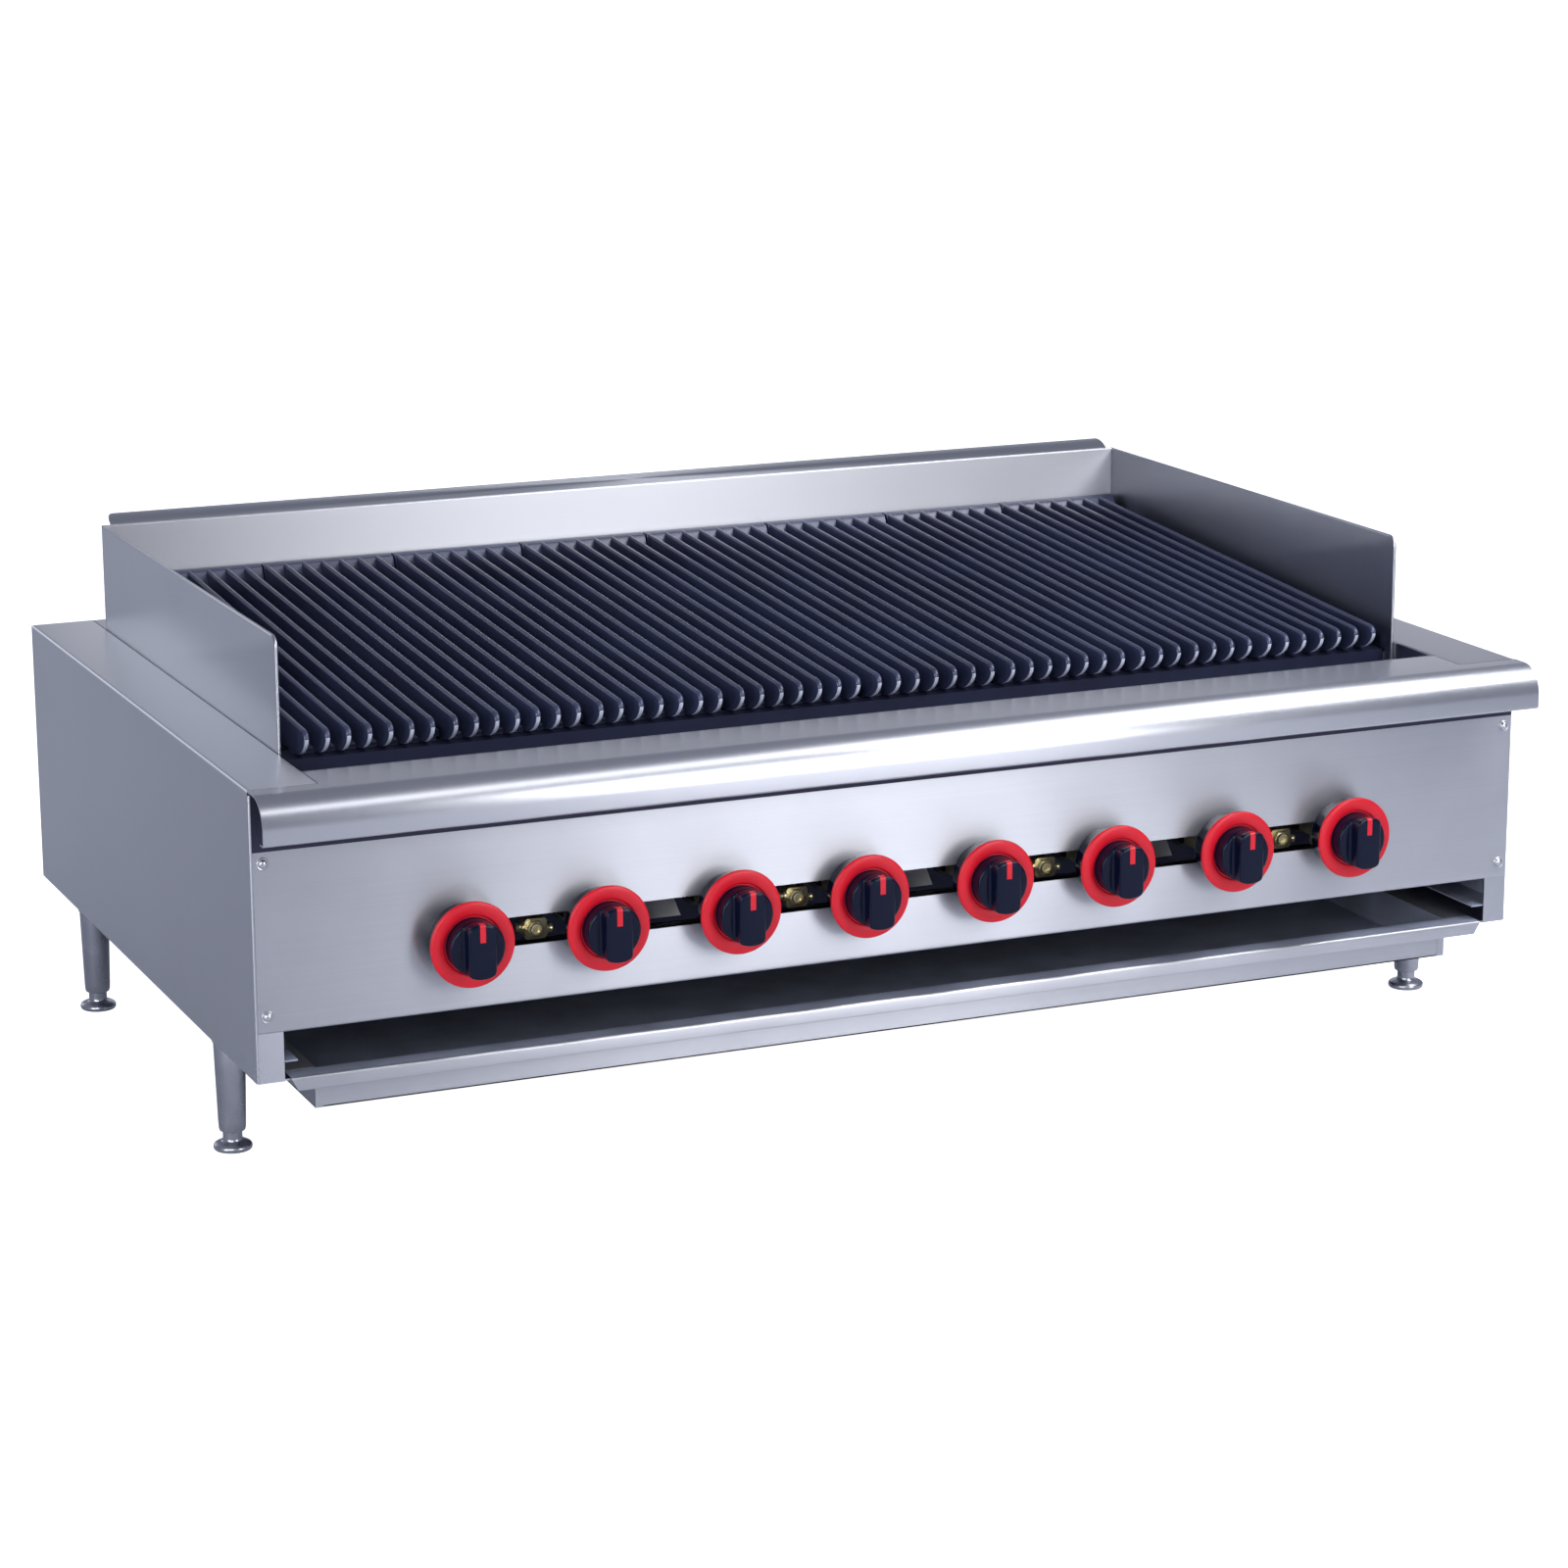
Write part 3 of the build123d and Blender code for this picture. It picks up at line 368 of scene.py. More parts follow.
right_skins = [(points * (-1, 1, 1), faces, finishes) for points, faces, finishes in left_skins]
steel_front_to_back = brushed_steel(
    "brushed_steel_front_to_back", "y", steel_tint, 0.28, smear=0.75, on_map=True
)
for node, skins in (("left_side_panel", left_skins), ("right_side_panel", right_skins)):
    side_panel = build_piece(node + "_folded", skins, [steel_front_to_back], grain="y")
    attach(side_panel, "cabinet")
    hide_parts(node)


# Front panel: flat stainless sheet screwed over both posts, a bend's width short of the corners, with the
# long slot behind the knobs and a return flange folded in below. Its top margin, behind the bullnose, is
# near black as painted shade, which draws the dark line under the bullnose.
knob_height = 0.2078
slot_half_height = 0.01275
slot_top = knob_height + slot_half_height
slot_bottom = knob_height - slot_half_height
slot_end = 0.43975
panel_half = cabinet_half - 0.0022
panel_foot = base_height + 0.043
panel_fold = 0.014
fold_top = panel_foot + 0.006
panel_head = deck_height - sheet
painted_shade_from = 0.3010
foot_outline = folded_profile(
    [(cabinet_front, fold_top), (cabinet_front, panel_foot), (cabinet_front + panel_fold, panel_foot)],
    [bend],
    sheet,
)
steel_across = brushed_steel(
    "brushed_steel_across", "x", steel_tint, 0.36, smear=0.82, on_map=True, grit=0.08
)
# Near-black steel that paints shade: the top margin of the front panel and the inside of the bullnose.
steel_painted_shade = brushed_steel("steel_painted_shade_finish", "x", (0.050, 0.050, 0.080), 0.60)
front_panel = build_piece(
    "front_panel_folded",
    [
        skin_over(carried(foot_outline, "x", -panel_half, panel_half)),
        plate((-panel_half, cabinet_front, fold_top), (panel_half, panel_back, slot_bottom)),
        plate((-panel_half, cabinet_front, slot_bottom), (-slot_end, panel_back, slot_top)),
        plate((slot_end, cabinet_front, slot_bottom), (panel_half, panel_back, slot_top)),
        plate((-panel_half, cabinet_front, slot_top), (panel_half, panel_back, painted_shade_from)),
        plate((-panel_half, cabinet_front, painted_shade_from), (panel_half, panel_back, panel_head), finish=1),
    ],
    [steel_across, steel_painted_shade],
)
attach(front_panel, "cabinet")
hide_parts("front_panel")


# Front ledge: one stainless sheet, flat, rolled over in front into a bullnose and hemmed below, and folded
# down and up again behind. The ends of the bullnose are open, and its inside is near black as painted shade.
seam = 0.0008
ledge_back = cabinet_front + 0.046
hem_gap = 0.0034
hem_bend = 0.0008
hem_head = deck_height - 0.0012
hem_foot = deck_height - 0.0095
roll_front = cabinet_front - 0.0405
roll_bottom = deck_height - 0.039
roll_radius = 0.026
roll_hem = 0.010
roll_hem_bend = 0.0022
roll_outline = folded_profile(
    [
        (panel_back - seam, deck_height),
        (roll_front, deck_height),
        (roll_front, roll_bottom),
        (roll_front + roll_hem, roll_bottom),
    ],
    [roll_radius, roll_hem_bend],
    sheet,
    arc_steps=24,
)
shelf_outline = folded_profile(
    [
        (ledge_back + hem_gap, hem_head),
        (ledge_back + hem_gap, hem_foot),
        (ledge_back, hem_foot),
        (ledge_back, deck_height),
        (panel_back - seam, deck_height),
    ],
    [hem_bend, hem_bend, bend],
    sheet,
)
roll = skin_over(carried(roll_outline, "x", -cabinet_half, cabinet_half))
# The second half of a folded outline is its far side, which here is the inside of the bullnose.
roll_half = len(roll_outline) // 2
# That inside gets the near-black painted shade.
roll[2][roll_half : 2 * roll_half] = [1] * roll_half
steel_ledge = brushed_steel("brushed_steel_ledge", "x", steel_tint, 0.25, smear=0.75, on_map=True)
ledge = build_piece(
    "ledge_and_bullnose",
    [roll, skin_over(carried(shelf_outline, "x", -opening_half, opening_half))],
    [steel_ledge, steel_painted_shade],
)
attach(ledge, "cabinet")
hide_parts("front_ledge")


# Side splash guards: stainless sheet hemmed all round to 3 mm, so that every edge is rounded over. They stand
# inside the deck opening, with the front top corner rounded off.
def hemmed_plate(outline, inwards, x_out, x_in, arc_steps=6):
    """Plate between two values of X with a half-round edge: each ring is the outline drawn inwards by
    radius times (1 - cos a) and set at the middle plus radius times sin a, for a from -90 to 90 degrees."""
    radius = abs(x_in - x_out) / 2
    middle = (x_in + x_out) / 2
    angles = np.linspace(-math.pi / 2, math.pi / 2, 2 * arc_steps + 1)
    rings = np.zeros((len(angles), len(outline), 3))
    drawn_in = radius * (1 - np.cos(angles))
    rings[..., 0] = (middle + radius * np.sin(angles))[:, None]
    rings[..., 1:] = outline[None] + inwards[None] * drawn_in[:, None, None]
    return rings


splash_thickness = 0.003
splash_front = cabinet_front + 0.1145
splash_rear = cabinet_back - 0.051
splash_foot = deck_height - 0.037
splash_top = deck_height + 0.1014
corner_round = 0.011
turn = np.linspace(math.pi, math.pi / 2, 13)
round_outwards = np.stack([np.cos(turn), np.sin(turn)], 1)
round_centre = (splash_front + corner_round, splash_top - corner_round)
round_points = np.array(round_centre) + corner_round * round_outwards
splash_outline = np.vstack(
    [[(splash_rear, splash_foot)], [(splash_front, splash_foot)], round_points, [(splash_rear, splash_top)]]
)
# A square corner is drawn in along both of its sides.
splash_inwards = np.vstack([[(-1, 1)], [(1, 1)], -round_outwards, [(-1, -1)]])
for side, node in ((-1, "splash_left"), (1, "splash_right")):
    guard_rings = hemmed_plate(
        splash_outline, splash_inwards, side * opening_half, side * (opening_half - splash_thickness)
    )
    guard = build_piece(
        node + "_guard", [skin_over(guard_rings)], [steel_front_to_back], sharp_angle=50, grain="y"
    )
    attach(guard, "cabinet")
    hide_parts(node)


# Front panel screws: stainless dome-head screws, each with a pressed collar, two up each side of the panel.
# They hold it to the posts of the side panels.
def turned(radii, reaches, centre, axis, finish=0, steps=48):
    """Turned shape: at each step of its profile a circle of that radius round the axis, at that reach from
    the centre along the axis. A circle is centre + reach * axis + radius * (cos t * side + sin t * up)."""
    axis = np.array(axis, float)
    side = np.cross(axis, (0.0, 0.0, 1.0) if abs(axis[2]) < 0.9 else (1.0, 0.0, 0.0))
    side /= np.linalg.norm(side)
    up = np.cross(axis, side)
    t = np.linspace(0, 2 * math.pi, steps, endpoint=False)
    circle = np.cos(t)[:, None] * side + np.sin(t)[:, None] * up
    rings = (
        np.array(centre)
        + np.array(reaches)[:, None, None] * axis
        + np.array(radii)[:, None, None] * circle[None]
    )
    return skin_over(rings, finish)


dome = np.linspace(0, math.pi / 2 - 0.05, 8)
screw_radii = np.concatenate([[0.0054, 0.0054, 0.0050, 0.0040], 0.0038 * np.cos(dome)])
screw_reaches = np.concatenate([[0.0, 0.0006, 0.0010, 0.0008], 0.0010 + 0.0022 * np.sin(dome)])
screw_x = 0.5995
screw_heights = (0.2912, 0.1598)
to_front = (0, -1, 0)
screws = build_piece(
    "front_panel_screws",
    [
        turned(screw_radii, screw_reaches, (x, cabinet_front, z), to_front, steps=24)
        for x in (-screw_x, screw_x)
        for z in screw_heights
    ],
    [steel_back],
)
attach(screws, "cabinet")


# Cast grates: grey iron sections, seasoned dark. Seven drafted ribs with rounded tops run from the rear bar
# to rounded noses that slant back under; filleted feet join them, with slots between. The nose faces are
# pale as a painted highlight.
def cast_iron(name, colour, roughness):
    """Iron with a sand-cast grain: a fine noise is its height, and a cloud varies colour and roughness."""
    iron, tree, shader, place = new_material(name)
    shader.inputs["Metallic"].default_value = 0.15
    shader.inputs["Specular IOR Level"].default_value = 0.85
    clouds = noise(tree, place, scale=9.0, detail=5.0)
    tints = shade(colour, 0.75), shade(colour, 1.35)
    vary(tree, clouds, tints, (roughness - 0.05, roughness + 0.08), span=(0.3, 0.75))
    emboss(tree, noise(tree, place, scale=900.0), strength=0.35, distance=0.0003)
    return iron


def spread(count, pitch):
    """Places of a row: so many, a pitch apart, with zero in the middle."""
    return [(k - (count - 1) / 2) * pitch for k in range(count)]


iron = cast_iron("seasoned_cast_iron", (0.036, 0.044, 0.098), 0.34)
# Pale bluish iron that paints the highlight on the rib noses.
nose_painted_highlight = cast_iron("cast_iron_nose_painted_highlight", (0.58, 0.62, 0.76), 0.36)

section_count = 8
section_pitch = 0.1338
rib_count = 7
rib_pitch = 0.0188
rib_top = 0.0027
rib_root = 0.0035
rib_round = 0.0024
round_steps = 6
rib_rows = 14
rib_inset = 0.002
nose_rows = 22
grate_thickness = 0.028
foot_height = 0.0035
foot_fillet = 0.003
fillet_sink = 0.0003
grate_front = cabinet_front + 0.1005
grate_back = 0.3225
front_top = deck_height + 0.0169
back_top = deck_height + 0.0535
slope = (back_top - front_top) / (grate_back - grate_front)
drop = grate_thickness * math.sqrt(1 + slope * slope)
nose_start = grate_front + 0.019
nose_tip = grate_front + 0.003
nose_under = grate_front + 0.008
nose_rise = 0.006
nose_end = grate_front + 0.0395
seat_end = nose_end + 0.004
root_front = nose_end + 0.006
rear_bar = 0.012
slot_half = 0.0025
slot_front = grate_front + 0.072
slot_back = grate_back - rear_bar - 0.010
cast_edge = 0.001


def top_at(y):
    """Height of the sloped plane through the rib tops, a straight line in Y."""
    return front_top + (y - grate_front) * slope


def rib_paths():
    """Side view of a rib as pairs of points, on its outer edge and at its foot. The outer edge is the sloped
    top line, then a cubic Bezier curve round the nose and back under to the seat."""
    t = np.linspace(0, 1, nose_rows)[:, None]
    start = (nose_start, top_at(nose_start))
    heel = (nose_end, top_at(nose_end) - drop)
    forward = (nose_tip, top_at(nose_tip))
    below = (nose_under, heel[1] + nose_rise)
    nose = (1 - t) ** 3 * start + 3 * (1 - t) ** 2 * t * forward + 3 * (1 - t) * t**2 * below + t**3 * heel
    top_y = np.linspace(grate_back - rib_inset, nose_start + rib_inset, rib_rows)
    outer = np.vstack([np.stack([top_y, top_at(top_y)], 1), nose])
    foot_y = np.concatenate([np.maximum(top_y, root_front), np.linspace(nose_end, seat_end, nose_rows)])
    return outer, np.stack([foot_y, top_at(foot_y) - drop], 1)


def rib_rings(x):
    """Rings across a rib: at each pair of path points the foot width narrows to the top width in a straight
    line, and a quarter circle rounds each top edge."""
    outer, inner = rib_paths()
    height = np.linalg.norm(outer - inner, axis=1)
    up = (outer - inner) / height[:, None]
    rounding = np.minimum(rib_round, 0.45 * height)
    phi = np.linspace(0, math.pi / 2, round_steps)
    side = np.full((len(height), round_steps + 1), rib_root)
    lift = np.zeros_like(side)
    side[:, 1:] = rib_top - rounding[:, None] * (1 - np.cos(phi))
    lift[:, 1:] = (height - rounding)[:, None] + rounding[:, None] * np.sin(phi)
    side = np.hstack([-side, side[:, ::-1]])
    lift = np.hstack([lift, lift[:, ::-1]])
    rings = np.zeros((*side.shape, 3))
    rings[..., 0] = x + side
    rings[..., 1:] = inner[:, None] + up[:, None] * lift[..., None]
    return rings


def foot_rings(x, left_reach, right_reach):
    """Rings across a rib's foot, from back to front: a flat strip with a fillet up to the rib on each side.
    Beside a slot it draws back by the slot's half width, along a half circle at each end of the slot."""
    t = np.linspace(0, math.pi / 2, 6)
    rear_end = slot_back - slot_half * (1 - np.cos(t))
    front_end = slot_front + slot_half * (1 - np.cos(t[::-1]))
    y = np.concatenate([[grate_back - cast_edge], rear_end, front_end, [nose_end + cast_edge]])
    draw = slot_half * np.concatenate([[0], np.sin(t), np.sin(t[::-1]), [0]])
    low = top_at(y) - drop
    fillet = np.linspace(0, math.pi / 2, 5)
    fillet_side = rib_root - fillet_sink + foot_fillet * (1 - np.sin(fillet))
    fillet_lift = foot_height + foot_fillet * (1 - np.cos(fillet))
    left = left_reach - draw * (left_reach > rib_root)
    right = right_reach - draw * (right_reach > rib_root)
    side_left = np.column_stack([left, left, *[np.minimum(left, s) for s in fillet_side]])
    side_right = np.column_stack([right, right, *[np.minimum(right, s) for s in fillet_side]])
    lift = np.concatenate([[0, foot_height], fillet_lift])
    rings = np.zeros((len(y), 2 * len(lift), 3))
    rings[..., 0] = x + np.hstack([-side_left, side_right[:, ::-1]])
    rings[..., 1] = y[:, None]
    rings[..., 2] = low[:, None] + np.concatenate([lift, lift[::-1]])[None]
    return rings


# The rear bar slopes down in front to the feet. A hook below drops behind the front rail, and a thin rim
# stands up along the right side.
bar_top = top_at(grate_back)
bar_low = bar_top - drop
bar_front = grate_back - rear_bar
bar_foot = bar_front - 0.012
bar_foot_low = top_at(bar_foot) - drop
bar_section = [
    (grate_back, bar_low),
    (bar_foot, bar_foot_low + 0.0002),
    (bar_foot, bar_foot_low + foot_height),
    (bar_front - cast_edge, top_at(bar_front) - 0.003),
    (bar_front, top_at(bar_front) - 0.0008),
    (bar_front + cast_edge, top_at(bar_front)),
    (grate_back - cast_edge, bar_top),
    (grate_back, bar_top - cast_edge),
]
hook_front = -0.197
hook_back = hook_front + 0.008
hook_top = top_at(hook_front) - drop + 0.002
hook_foot = top_at(hook_front) - drop - 0.009
hook_section = [
    (hook_front, hook_top),
    (hook_front, hook_foot),
    (hook_back, hook_foot),
    (hook_back, hook_top),
]
rim_front = nose_end + cast_edge
rim_back = grate_back - 0.004
rim_front_low = top_at(rim_front) - drop
rim_lift = 0.0005
rim_height = 0.009
rim_thickness = 0.0025
rim_section = [
    (rim_front, rim_front_low + rim_lift),
    (rim_front, rim_front_low + rim_height),
    (rim_back, bar_low + rim_height),
    (rim_back, bar_low + rim_lift),
]
# The faces of each rib's nose that get the painted highlight: rows along the rib, columns round it.
nose_highlight_rows = slice(rib_rows + 8, rib_rows + 19)
nose_highlight_columns = slice(4, 9)
for number, centre_x in enumerate(spread(section_count, section_pitch), start=1):
    rib_xs = [centre_x + place for place in spread(rib_count, rib_pitch)]
    left_x = rib_xs[0] - rib_root
    right_x = left_x + rib_count * rib_pitch
    skins = []
    for k, x in enumerate(rib_xs):
        rings = rib_rings(x)
        rib_points, rib_faces, _ = skin_over(rings)
        rib_finish = np.zeros((len(rings) - 1, rings.shape[1]), int)
        rib_finish[nose_highlight_rows, nose_highlight_columns] = 1
        skins.append((rib_points, rib_faces, [*rib_finish.ravel().tolist(), 0, 0]))
        left_reach = rib_root if k == 0 else rib_pitch / 2
        right_reach = right_x - x if k == rib_count - 1 else rib_pitch / 2
        skins.append(skin_over(foot_rings(x, left_reach, right_reach)))
    skins.append(skin_over(carried(bar_section, "x", left_x, right_x)))
    skins.append(skin_over(carried(hook_section, "x", left_x, right_x)))
    skins.append(skin_over(carried(rim_section, "x", right_x - rim_thickness, right_x)))
    grate = build_piece(f"cast_grate_{number}", skins, [iron, nose_painted_highlight], sharp_angle=40)
    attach(grate, f"grate_{number}")
    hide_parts(f"grate_{number}")


# Bezels: moulded collars clipped round the valve holes. The flared side is black, the face ring is satin red
# with rounded edges.
def moulded_plastic(name, colour, roughness, specular):
    """Moulded plastic: a faint cloud in roughness and colour, and a very fine skin texture."""
    plastic, tree, shader, place = new_material(name)
    shader.inputs["Specular IOR Level"].default_value = specular
    clouds = noise(tree, place, scale=60.0, detail=3.0)
    tints = shade(colour, 0.90), shade(colour, 1.08)
    vary(tree, clouds, tints, (roughness - 0.05, roughness + 0.05))
    emboss(tree, noise(tree, place, scale=1600.0), strength=0.08, distance=0.0001)
    return plastic


red_plastic = moulded_plastic("red_plastic", (0.60, 0.006, 0.020), 0.34, 0.40)
black_plastic = moulded_plastic("black_plastic", (0.003, 0.005, 0.020), 0.13, 0.20)

knob_pitch = 0.122
knob_count = 8
knob_xs = spread(knob_count, knob_pitch)
flare_radii = [0.0252, 0.0310, 0.0314, 0.0362, 0.0362, 0.0252]
flare_reaches = [0.0000, 0.0000, 0.0015, 0.0212, 0.0212, 0.0212]
ring_radii = [
    *(0.0252, 0.0368, 0.0373, 0.0375, 0.0373, 0.0366),
    *(0.0350, 0.0310, 0.0270, 0.0262, 0.0256, 0.0252),
]
ring_reaches = [
    *(0.0212, 0.0212, 0.0217, 0.0226, 0.0238, 0.0246),
    *(0.0250, 0.0250, 0.0247, 0.0245, 0.0240, 0.0230),
]
bezel_skins = []
for x in knob_xs:
    centre = (x, cabinet_front, knob_height)
    bezel_skins.append(turned(flare_radii, flare_reaches, centre, to_front, finish=1, steps=72))
    bezel_skins.append(turned(ring_radii, ring_reaches, centre, to_front, steps=72))
bezels = build_piece("bezel_rings", bezel_skins, [red_plastic, black_plastic], sharp_angle=50)
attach(bezels, "cabinet")
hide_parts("bezels")


# Knobs: glossy black moulded discs with a full-width grip bar. A red pointer is let into the bar's upper end
# and wraps over its edge. Each is pushed on the stem of its valve.
def grip_rings(x, z, half_width, radius, depth_from, depth_to, round_over, rows=6, points=96):
    """Grip bar standing out along -Y. Each ring's reach from the axis at angle t is the smooth minimum of a
    strip, half width / |cos t|, and a disc, radius: one over the 14th root of the sum of their inverse 14th
    powers. A hollow quarter circle widens the strip at the root, and a round one draws in the last rows."""
    t = np.linspace(0, 2 * math.pi, points, endpoint=False)
    turn = np.linspace(0, math.pi / 2, rows)
    root = 1.3 * round_over
    root_depth = depth_from + root * (1 - np.cos(turn))
    crown_depth = depth_to - round_over + round_over * np.sin(turn)
    depth = np.concatenate([root_depth, crown_depth])
    widen = np.concatenate([root * (1 - np.sin(turn)), np.zeros(rows)])
    draw = np.concatenate([np.zeros(rows), round_over * (1 - np.cos(turn))])
    strip = np.abs(np.cos(t))[None] / (half_width - draw + widen)[:, None]
    disc = 1 / (radius - draw)[:, None]
    reach = (strip**14 + disc**14) ** (-1 / 14)
    rings = np.zeros((len(depth), points, 3))
    rings[..., 0] = x + reach * np.cos(t)
    rings[..., 1] = (cabinet_front - depth)[:, None]
    rings[..., 2] = z + reach * np.sin(t)
    return rings


knob_radius = 0.0242
grip_half = 0.0122
grip_end = 0.0240
grip_root = 0.0378
grip_face = 0.0499
grip_round = 0.0022
pointer_half = 0.0025
pointer_sheet = 0.0010
pointer_bend = 0.0023
pointer_face = cabinet_front - 0.0500
pointer_back = cabinet_front - 0.0440
pointer_foot = knob_height + 0.0085
pointer_head = knob_height + grip_end + 0.0001
pointer_outline = folded_profile(
    [(pointer_face, pointer_foot), (pointer_face, pointer_head), (pointer_back, pointer_head)],
    [pointer_bend],
    -pointer_sheet,
)
disc_radii = [0.0040, 0.0040, 0.0236, 0.0241, knob_radius, knob_radius, 0.0239, 0.0231, 0.0217, 0.0120]
disc_reaches = [-0.0290, 0.0140, 0.0140, 0.0143, 0.0150, 0.0354, 0.0368, 0.0377, 0.0380, 0.0379]
for number, x in enumerate(knob_xs, start=1):
    disc = turned(disc_radii, disc_reaches, (x, cabinet_front, knob_height), to_front, steps=72)
    grip = skin_over(grip_rings(x, knob_height, grip_half, grip_end, grip_root, grip_face, grip_round))
    pointer = skin_over(carried(pointer_outline, "x", x - pointer_half, x + pointer_half), finish=1)
    knob_skins = [disc, grip, pointer]
    knob = build_piece(f"gas_knob_{number}", knob_skins, [black_plastic, red_plastic], sharp_angle=45)
    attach(knob, f"knob_{number}")
    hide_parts(f"knob_{number}")


# Legs: turned tubes of plated steel with a thin collar under the cabinet and a shoulder at the bottom. Each
# foot is a domed disc on a neck that screws up into its leg.
def satin_metal(name, colour, roughness, metallic=1.0):
    """Plated, painted or stained metal with a faint cloud in colour and roughness."""
    metal, tree, shader, place = new_material(name)
    shader.inputs["Metallic"].default_value = metallic
    clouds = noise(tree, place, scale=22.0, detail=6.0)
    tints = shade(colour, 0.82), np.minimum(1, shade(colour, 1.15))
    vary(tree, clouds, tints, (roughness - 0.04, roughness + 0.08), span=(0.3, 0.75))
    emboss(tree, noise(tree, place, scale=260.0), strength=0.1, distance=0.0002)
    return metal


plated = satin_metal("plated_steel", (0.46, 0.47, 0.52), 0.26)
leg_x = 0.593
leg_front = cabinet_front + 0.143
leg_back = leg_front + 0.458
leg_places = {
    "front_left": (-leg_x, leg_front),
    "front_right": (leg_x, leg_front),
    "rear_left": (-leg_x, leg_back),
    "rear_right": (leg_x, leg_back),
}
upright = (0, 0, 1)
leg_radii = [0.0150, 0.0150, 0.0147, 0.0140, 0.0139, 0.0121, 0.0118, 0.0112, 0.0100, 0.0086]
leg_heights = [0.1020, 0.0984, 0.0980, 0.0980, 0.0950, 0.0260, 0.0200, 0.0178, 0.0171, 0.0170]
legs = build_piece(
    "turned_legs",
    [turned(leg_radii, leg_heights, (x, y, 0), upright) for x, y in leg_places.values()],
    [plated],
    sharp_angle=40,
)
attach(legs, "cabinet")
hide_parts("legs")
foot_radii = [
    *(0.0145, 0.0158, 0.0167, 0.0170, 0.0168, 0.0160),
    *(0.0140, 0.0112, 0.0094, 0.0086, 0.0085, 0.0085),
]
foot_heights = [
    *(0.0000, 0.0004, 0.0014, 0.0030, 0.0044, 0.0055),
    *(0.0066, 0.0074, 0.0080, 0.0090, 0.0110, 0.0620),
]
for corner, (x, y) in leg_places.items():
    foot_skin = turned(foot_radii, foot_heights, (x, y, 0), upright)
    foot = build_piece(f"levelling_foot_{corner}", [foot_skin], [plated], sharp_angle=60)
    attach(foot, f"foot_{corner}")
    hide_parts(f"foot_{corner}")


# Drip tray: five stainless sheets welded into a pan, brushed outside, and satin inside with a darker, bluer
# colour as painted shade. The front sheet folds forward and down into a lip with slanted ends, the end
# sheets fold out into flanges that slide in the cabinet, and tabs lap the front corners.
tray_half = 0.555
tray_lip_half = 0.581
tray_floor = 0.069
tray_rim = 0.1047
tray_front = cabinet_front + 0.020
tray_back = 0.3385
tray_sheet = 0.0012
flange_front = tray_front + 0.001
front_sheet_top = tray_rim - 0.003
tab_width = 0.007
tab_front = tray_front - 0.0007
lip_face = cabinet_front - tray_sheet
lip_root = tray_rim - 0.004
lip_low = 0.0925
lip_lean = 0.0004
lip_hem = 0.0040
lip_taper = 0.006
lip_sheet = 0.95 * tray_sheet
lip_bends = [0.0015, 0.0024, 0.0008]
lip_arc_steps = 6
lip_outline = folded_profile(
    [
        (tray_front + tray_sheet, lip_root),
        (tray_front + tray_sheet, tray_rim),
        (lip_face, tray_rim),
        (lip_face + lip_lean, lip_low),
        (lip_face + lip_lean + lip_hem, lip_low + 0.0002),
    ],
    lip_bends,
    lip_sheet,
    arc_steps=lip_arc_steps,
)
lip_rings = carried(lip_outline, "x", -tray_lip_half, tray_lip_half)
flange_low = tray_rim - tray_sheet
lip_draw = lip_taper * np.clip((flange_low - lip_rings[..., 2]) / (flange_low - lip_low), 0, 1)
lip_rings[..., 0] -= np.sign(lip_rings[..., 0]) * lip_draw
# The bottom of a plate is its face 0, and these are the others, in the order in which skin_over makes them.
face_back, face_up, face_front, face_left, face_right = range(1, 6)


def satin_with_painted_shade(skin, face):
    """The same skin, with one face in the pan's inside finish: satin, darker and bluer as painted shade."""
    skin[2][face] = 1
    return skin


# The flat top of the lip, between its first two arcs, has the inside finish too, with its painted shade.
lip = satin_with_painted_shade(skin_over(lip_rings), lip_arc_steps + 1)
pan_corner = (-tray_half, tray_front, tray_floor)
front_sheet = plate(pan_corner, (tray_half, tray_front + tray_sheet, front_sheet_top))
floor_sheet = plate(pan_corner, (tray_half, tray_back, tray_floor + tray_sheet))
back_sheet = plate((-tray_half, tray_back - tray_sheet, tray_floor), (tray_half, tray_back, tray_rim))
tray_skins = [lip, satin_with_painted_shade(front_sheet, face_back), satin_with_painted_shade(floor_sheet, face_up), satin_with_painted_shade(back_sheet, face_front)]
for side, inner_face in ((-1, face_right), (1, face_left)):
    wall_x = sorted((side * tray_half, side * (tray_half - tray_sheet)))
    flange_x = sorted((side * tray_half, side * tray_lip_half))
    tab_x = sorted((side * tray_half, side * (tray_half - tab_width)))
    wall = plate((wall_x[0], tray_front, tray_floor), (wall_x[1], tray_back, tray_rim))
    tray_skins.append(satin_with_painted_shade(wall, inner_face))
    tray_skins.append(plate((flange_x[0], flange_front, flange_low), (flange_x[1], tray_back, tray_rim)))
    tray_skins.append(plate((tab_x[0], tab_front, tray_floor), (tab_x[1], tray_front, flange_low)))
# Darker, bluer and mostly matt: partly a satin finish, partly painted shade for the tray's mouth and rails.
tray_satin_painted_shade = satin_metal("tray_pan_satin_painted_shade", (0.27, 0.30, 0.40), 0.6, metallic=0.2)
tray = build_piece("welded_drip_tray", tray_skins, [steel_across, tray_satin_painted_shade], sharp_angle=40)
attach(tray, "drip_tray")
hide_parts("drip_tray")


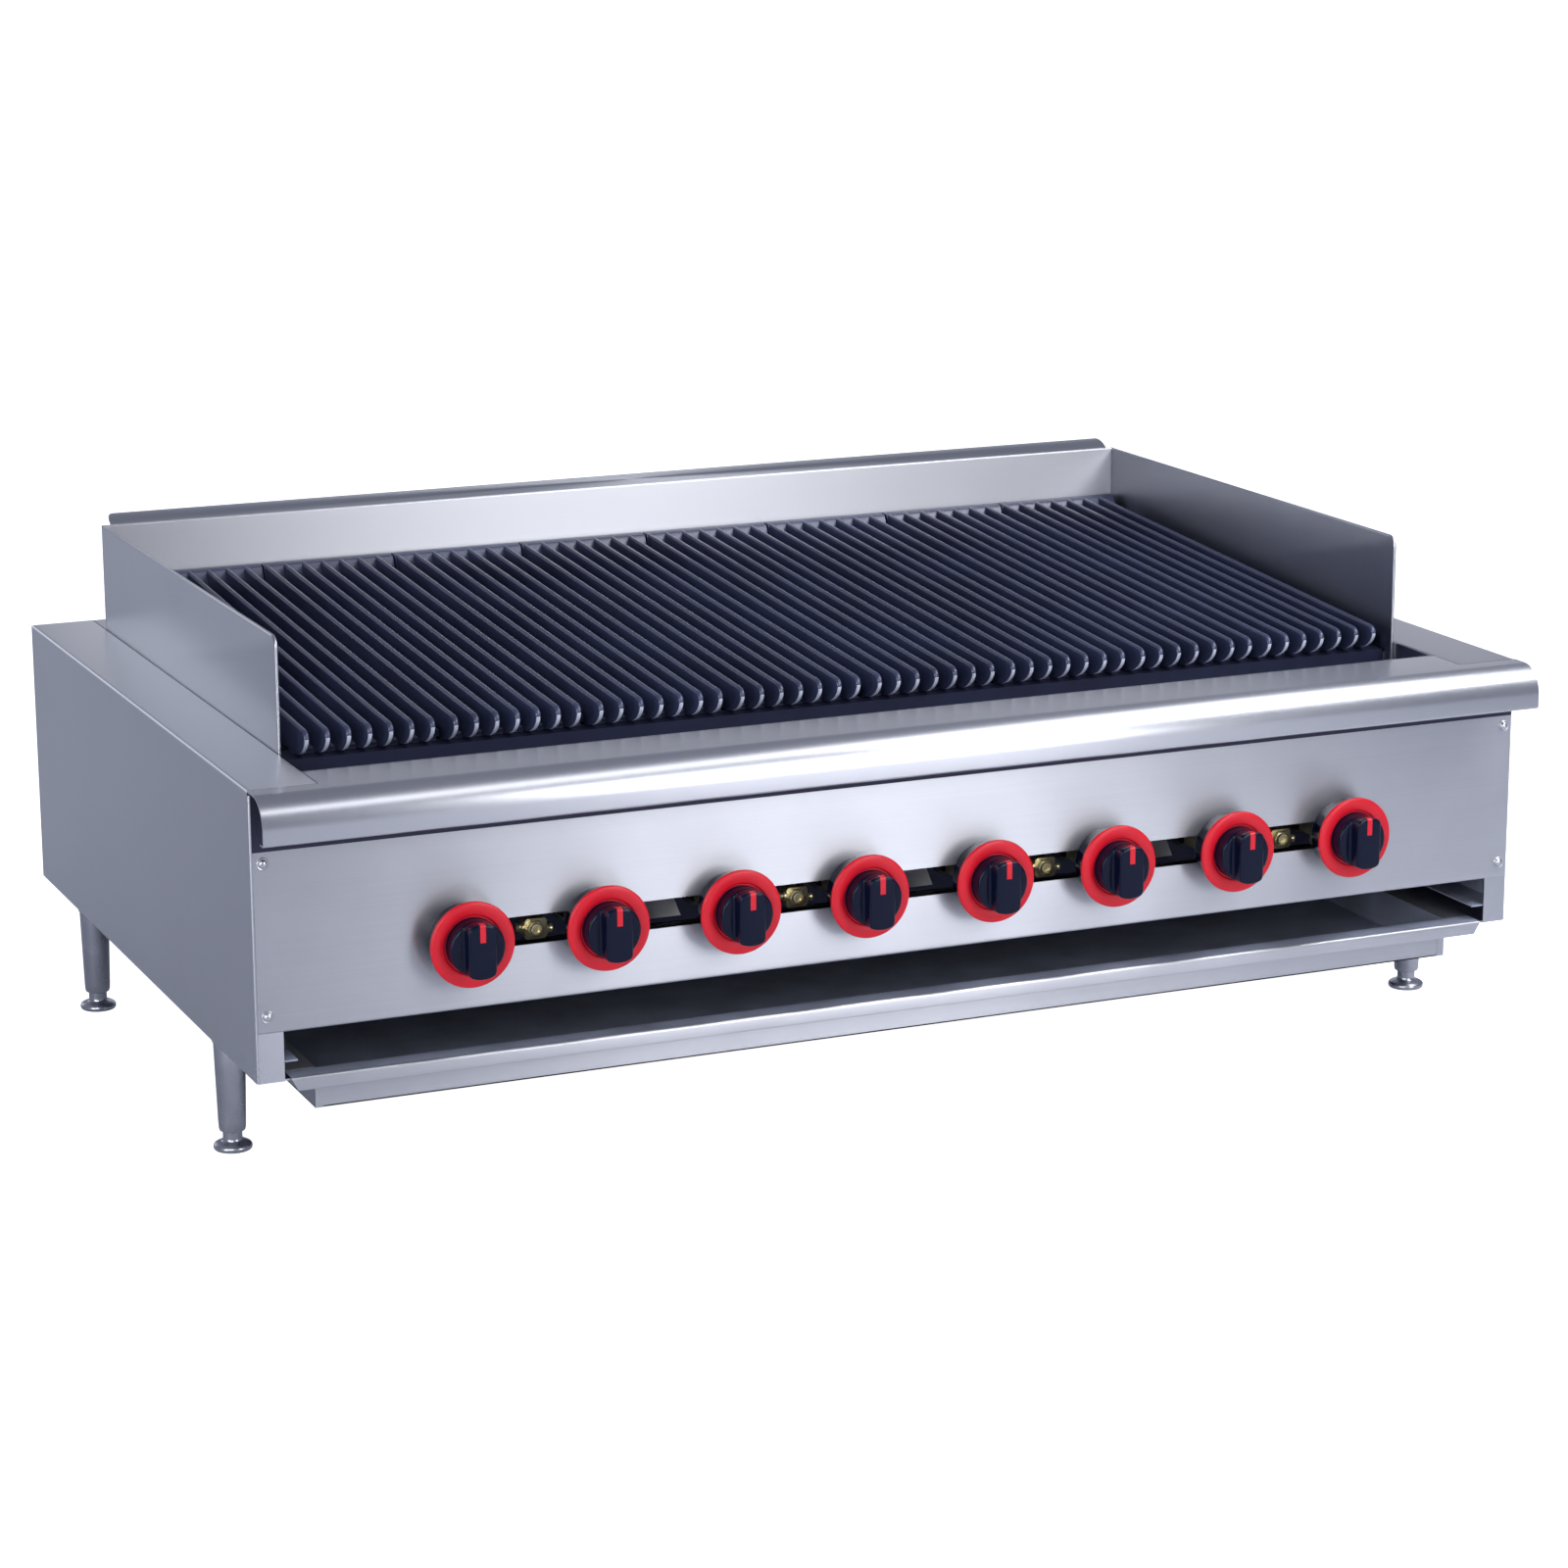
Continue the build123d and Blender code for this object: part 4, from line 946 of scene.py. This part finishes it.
# Firebox and supports: aluminised sheet, dull and heat-stained, mostly in the dark under the grates. The
# front sheet, seen through the slot behind the knobs, and the front grate rail are dark blue as painted
# shade. Folded baffles are fixed to the front sheet between the pilots.
aluminised = satin_metal("aluminised_sheet", (0.16, 0.17, 0.22), 0.5)
for node in (
    "firebox_liner_left",
    "firebox_liner_right",
    "firebox_back",
    "grate_rail_rear",
    "radiant_rail_front",
    "radiant_rail_rear",
    "burner_rail_rear",
    "radiants",
    "manifold_brackets",
):
    finish_node(node, aluminised)
# Near-black blue sheet that paints the shade seen through the slot and in the gap in front of the grates.
painted_shade_blue = satin_metal("sheet_painted_shade_blue", (0.009, 0.013, 0.045), 0.55, metallic=0.3)
finish_node("firebox_front", painted_shade_blue)
finish_node("grate_rail_front", painted_shade_blue)
# The baffles are near white, far paler than the other aluminised sheet, as painted light behind the slot.
finish_node("slot_baffles", satin_metal("baffle_sheet_painted_light", (0.80, 0.80, 0.85), 0.5, metallic=0.2))
# The tray rails take the same finish, with its painted shade.
finish_node("tray_rails", tray_satin_painted_shade)
finish_node("grease_gutter", steel_back)


# Pilot valves: turned and milled brass, one block to each pair of burners, screwed into the manifold and seen
# through the slot. Each has a hexagon and an open adjuster collar in front, and a union on either side.
brass = satin_metal("brass", (0.95, 0.82, 0.52), 0.30, metallic=0.85)
pilot_height = knob_height - 0.008
pilot_front = -0.3245
pilot_back = pilot_front + 0.016
pilot_half = 0.010
pilot_half_height = 0.009
pilot_chamfer = 0.002
pilot_count = 4
pilot_offset = 0.014
pilot_xs = [x + pilot_offset for x in spread(pilot_count, 2 * knob_pitch)]
lower_half = np.array(
    [
        (-pilot_half, -pilot_half_height + pilot_chamfer),
        (-pilot_half + pilot_chamfer, -pilot_half_height),
        (pilot_half - pilot_chamfer, -pilot_half_height),
        (pilot_half, -pilot_half_height + pilot_chamfer),
    ]
)
hexagon_radii = [0.0078, 0.0078, 0.0070]
hexagon_reaches = [0.0, 0.0042, 0.0050]
hexagon_y = pilot_front + 0.0002
collar_radii = [0.0054, 0.0054, 0.0050, 0.0036, 0.0033, 0.0033]
collar_reaches = [0.0, 0.0074, 0.0080, 0.0080, 0.0074, 0.0040]
union_radii = [0.0052, 0.0052, 0.0044, 0.0030, 0.0030, 0.0038, 0.0040, 0.0032, 0.0012]
union_reaches = [0.0, 0.0028, 0.0034, 0.0036, 0.0046, 0.0056, 0.0068, 0.0080, 0.0085]
union_offset = 0.009
union_y = -0.3190
pilot_skins = []
for x in pilot_xs:
    block = np.vstack([lower_half, -lower_half]) + (x, pilot_height)
    adjuster_x, adjuster_z = x - 0.002, pilot_height + 0.001
    pilot_skins.append(skin_over(carried(block, "y", pilot_front, pilot_back)))
    pilot_skins.append(
        turned(hexagon_radii, hexagon_reaches, (adjuster_x, hexagon_y, adjuster_z), to_front, steps=6)
    )
    pilot_skins.append(
        turned(collar_radii, collar_reaches, (adjuster_x, pilot_front, adjuster_z), to_front, steps=32)
    )
    for side, height in ((1, pilot_height - 0.0025), (-1, pilot_height + 0.001)):
        union_place = (x + side * union_offset, union_y, height)
        pilot_skins.append(turned(union_radii, union_reaches, union_place, (side, 0, 0), steps=24))
pilots = build_piece("brass_pilot_valves", pilot_skins, [brass], sharp_angle=35)
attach(pilots, "cabinet")
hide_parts("pilot_valves")


# Burners and manifold: plain iron castings, fed by a black steel pipe through brass taps. Straight aluminium
# tubes run back between the burners from the pilot valves.
burner_iron = cast_iron("burner_cast_iron", (0.05, 0.05, 0.055), 0.6)
for number in range(1, knob_count + 1):
    finish_node(f"burner_{number}", burner_iron)
finish_node("manifold_pipe", satin_metal("black_pipe", (0.05, 0.05, 0.06), 0.45))
finish_node("gas_valves", brass)
finish_node("pilot_tubes", satin_metal("aluminium_tube", (0.6, 0.6, 0.62), 0.3))
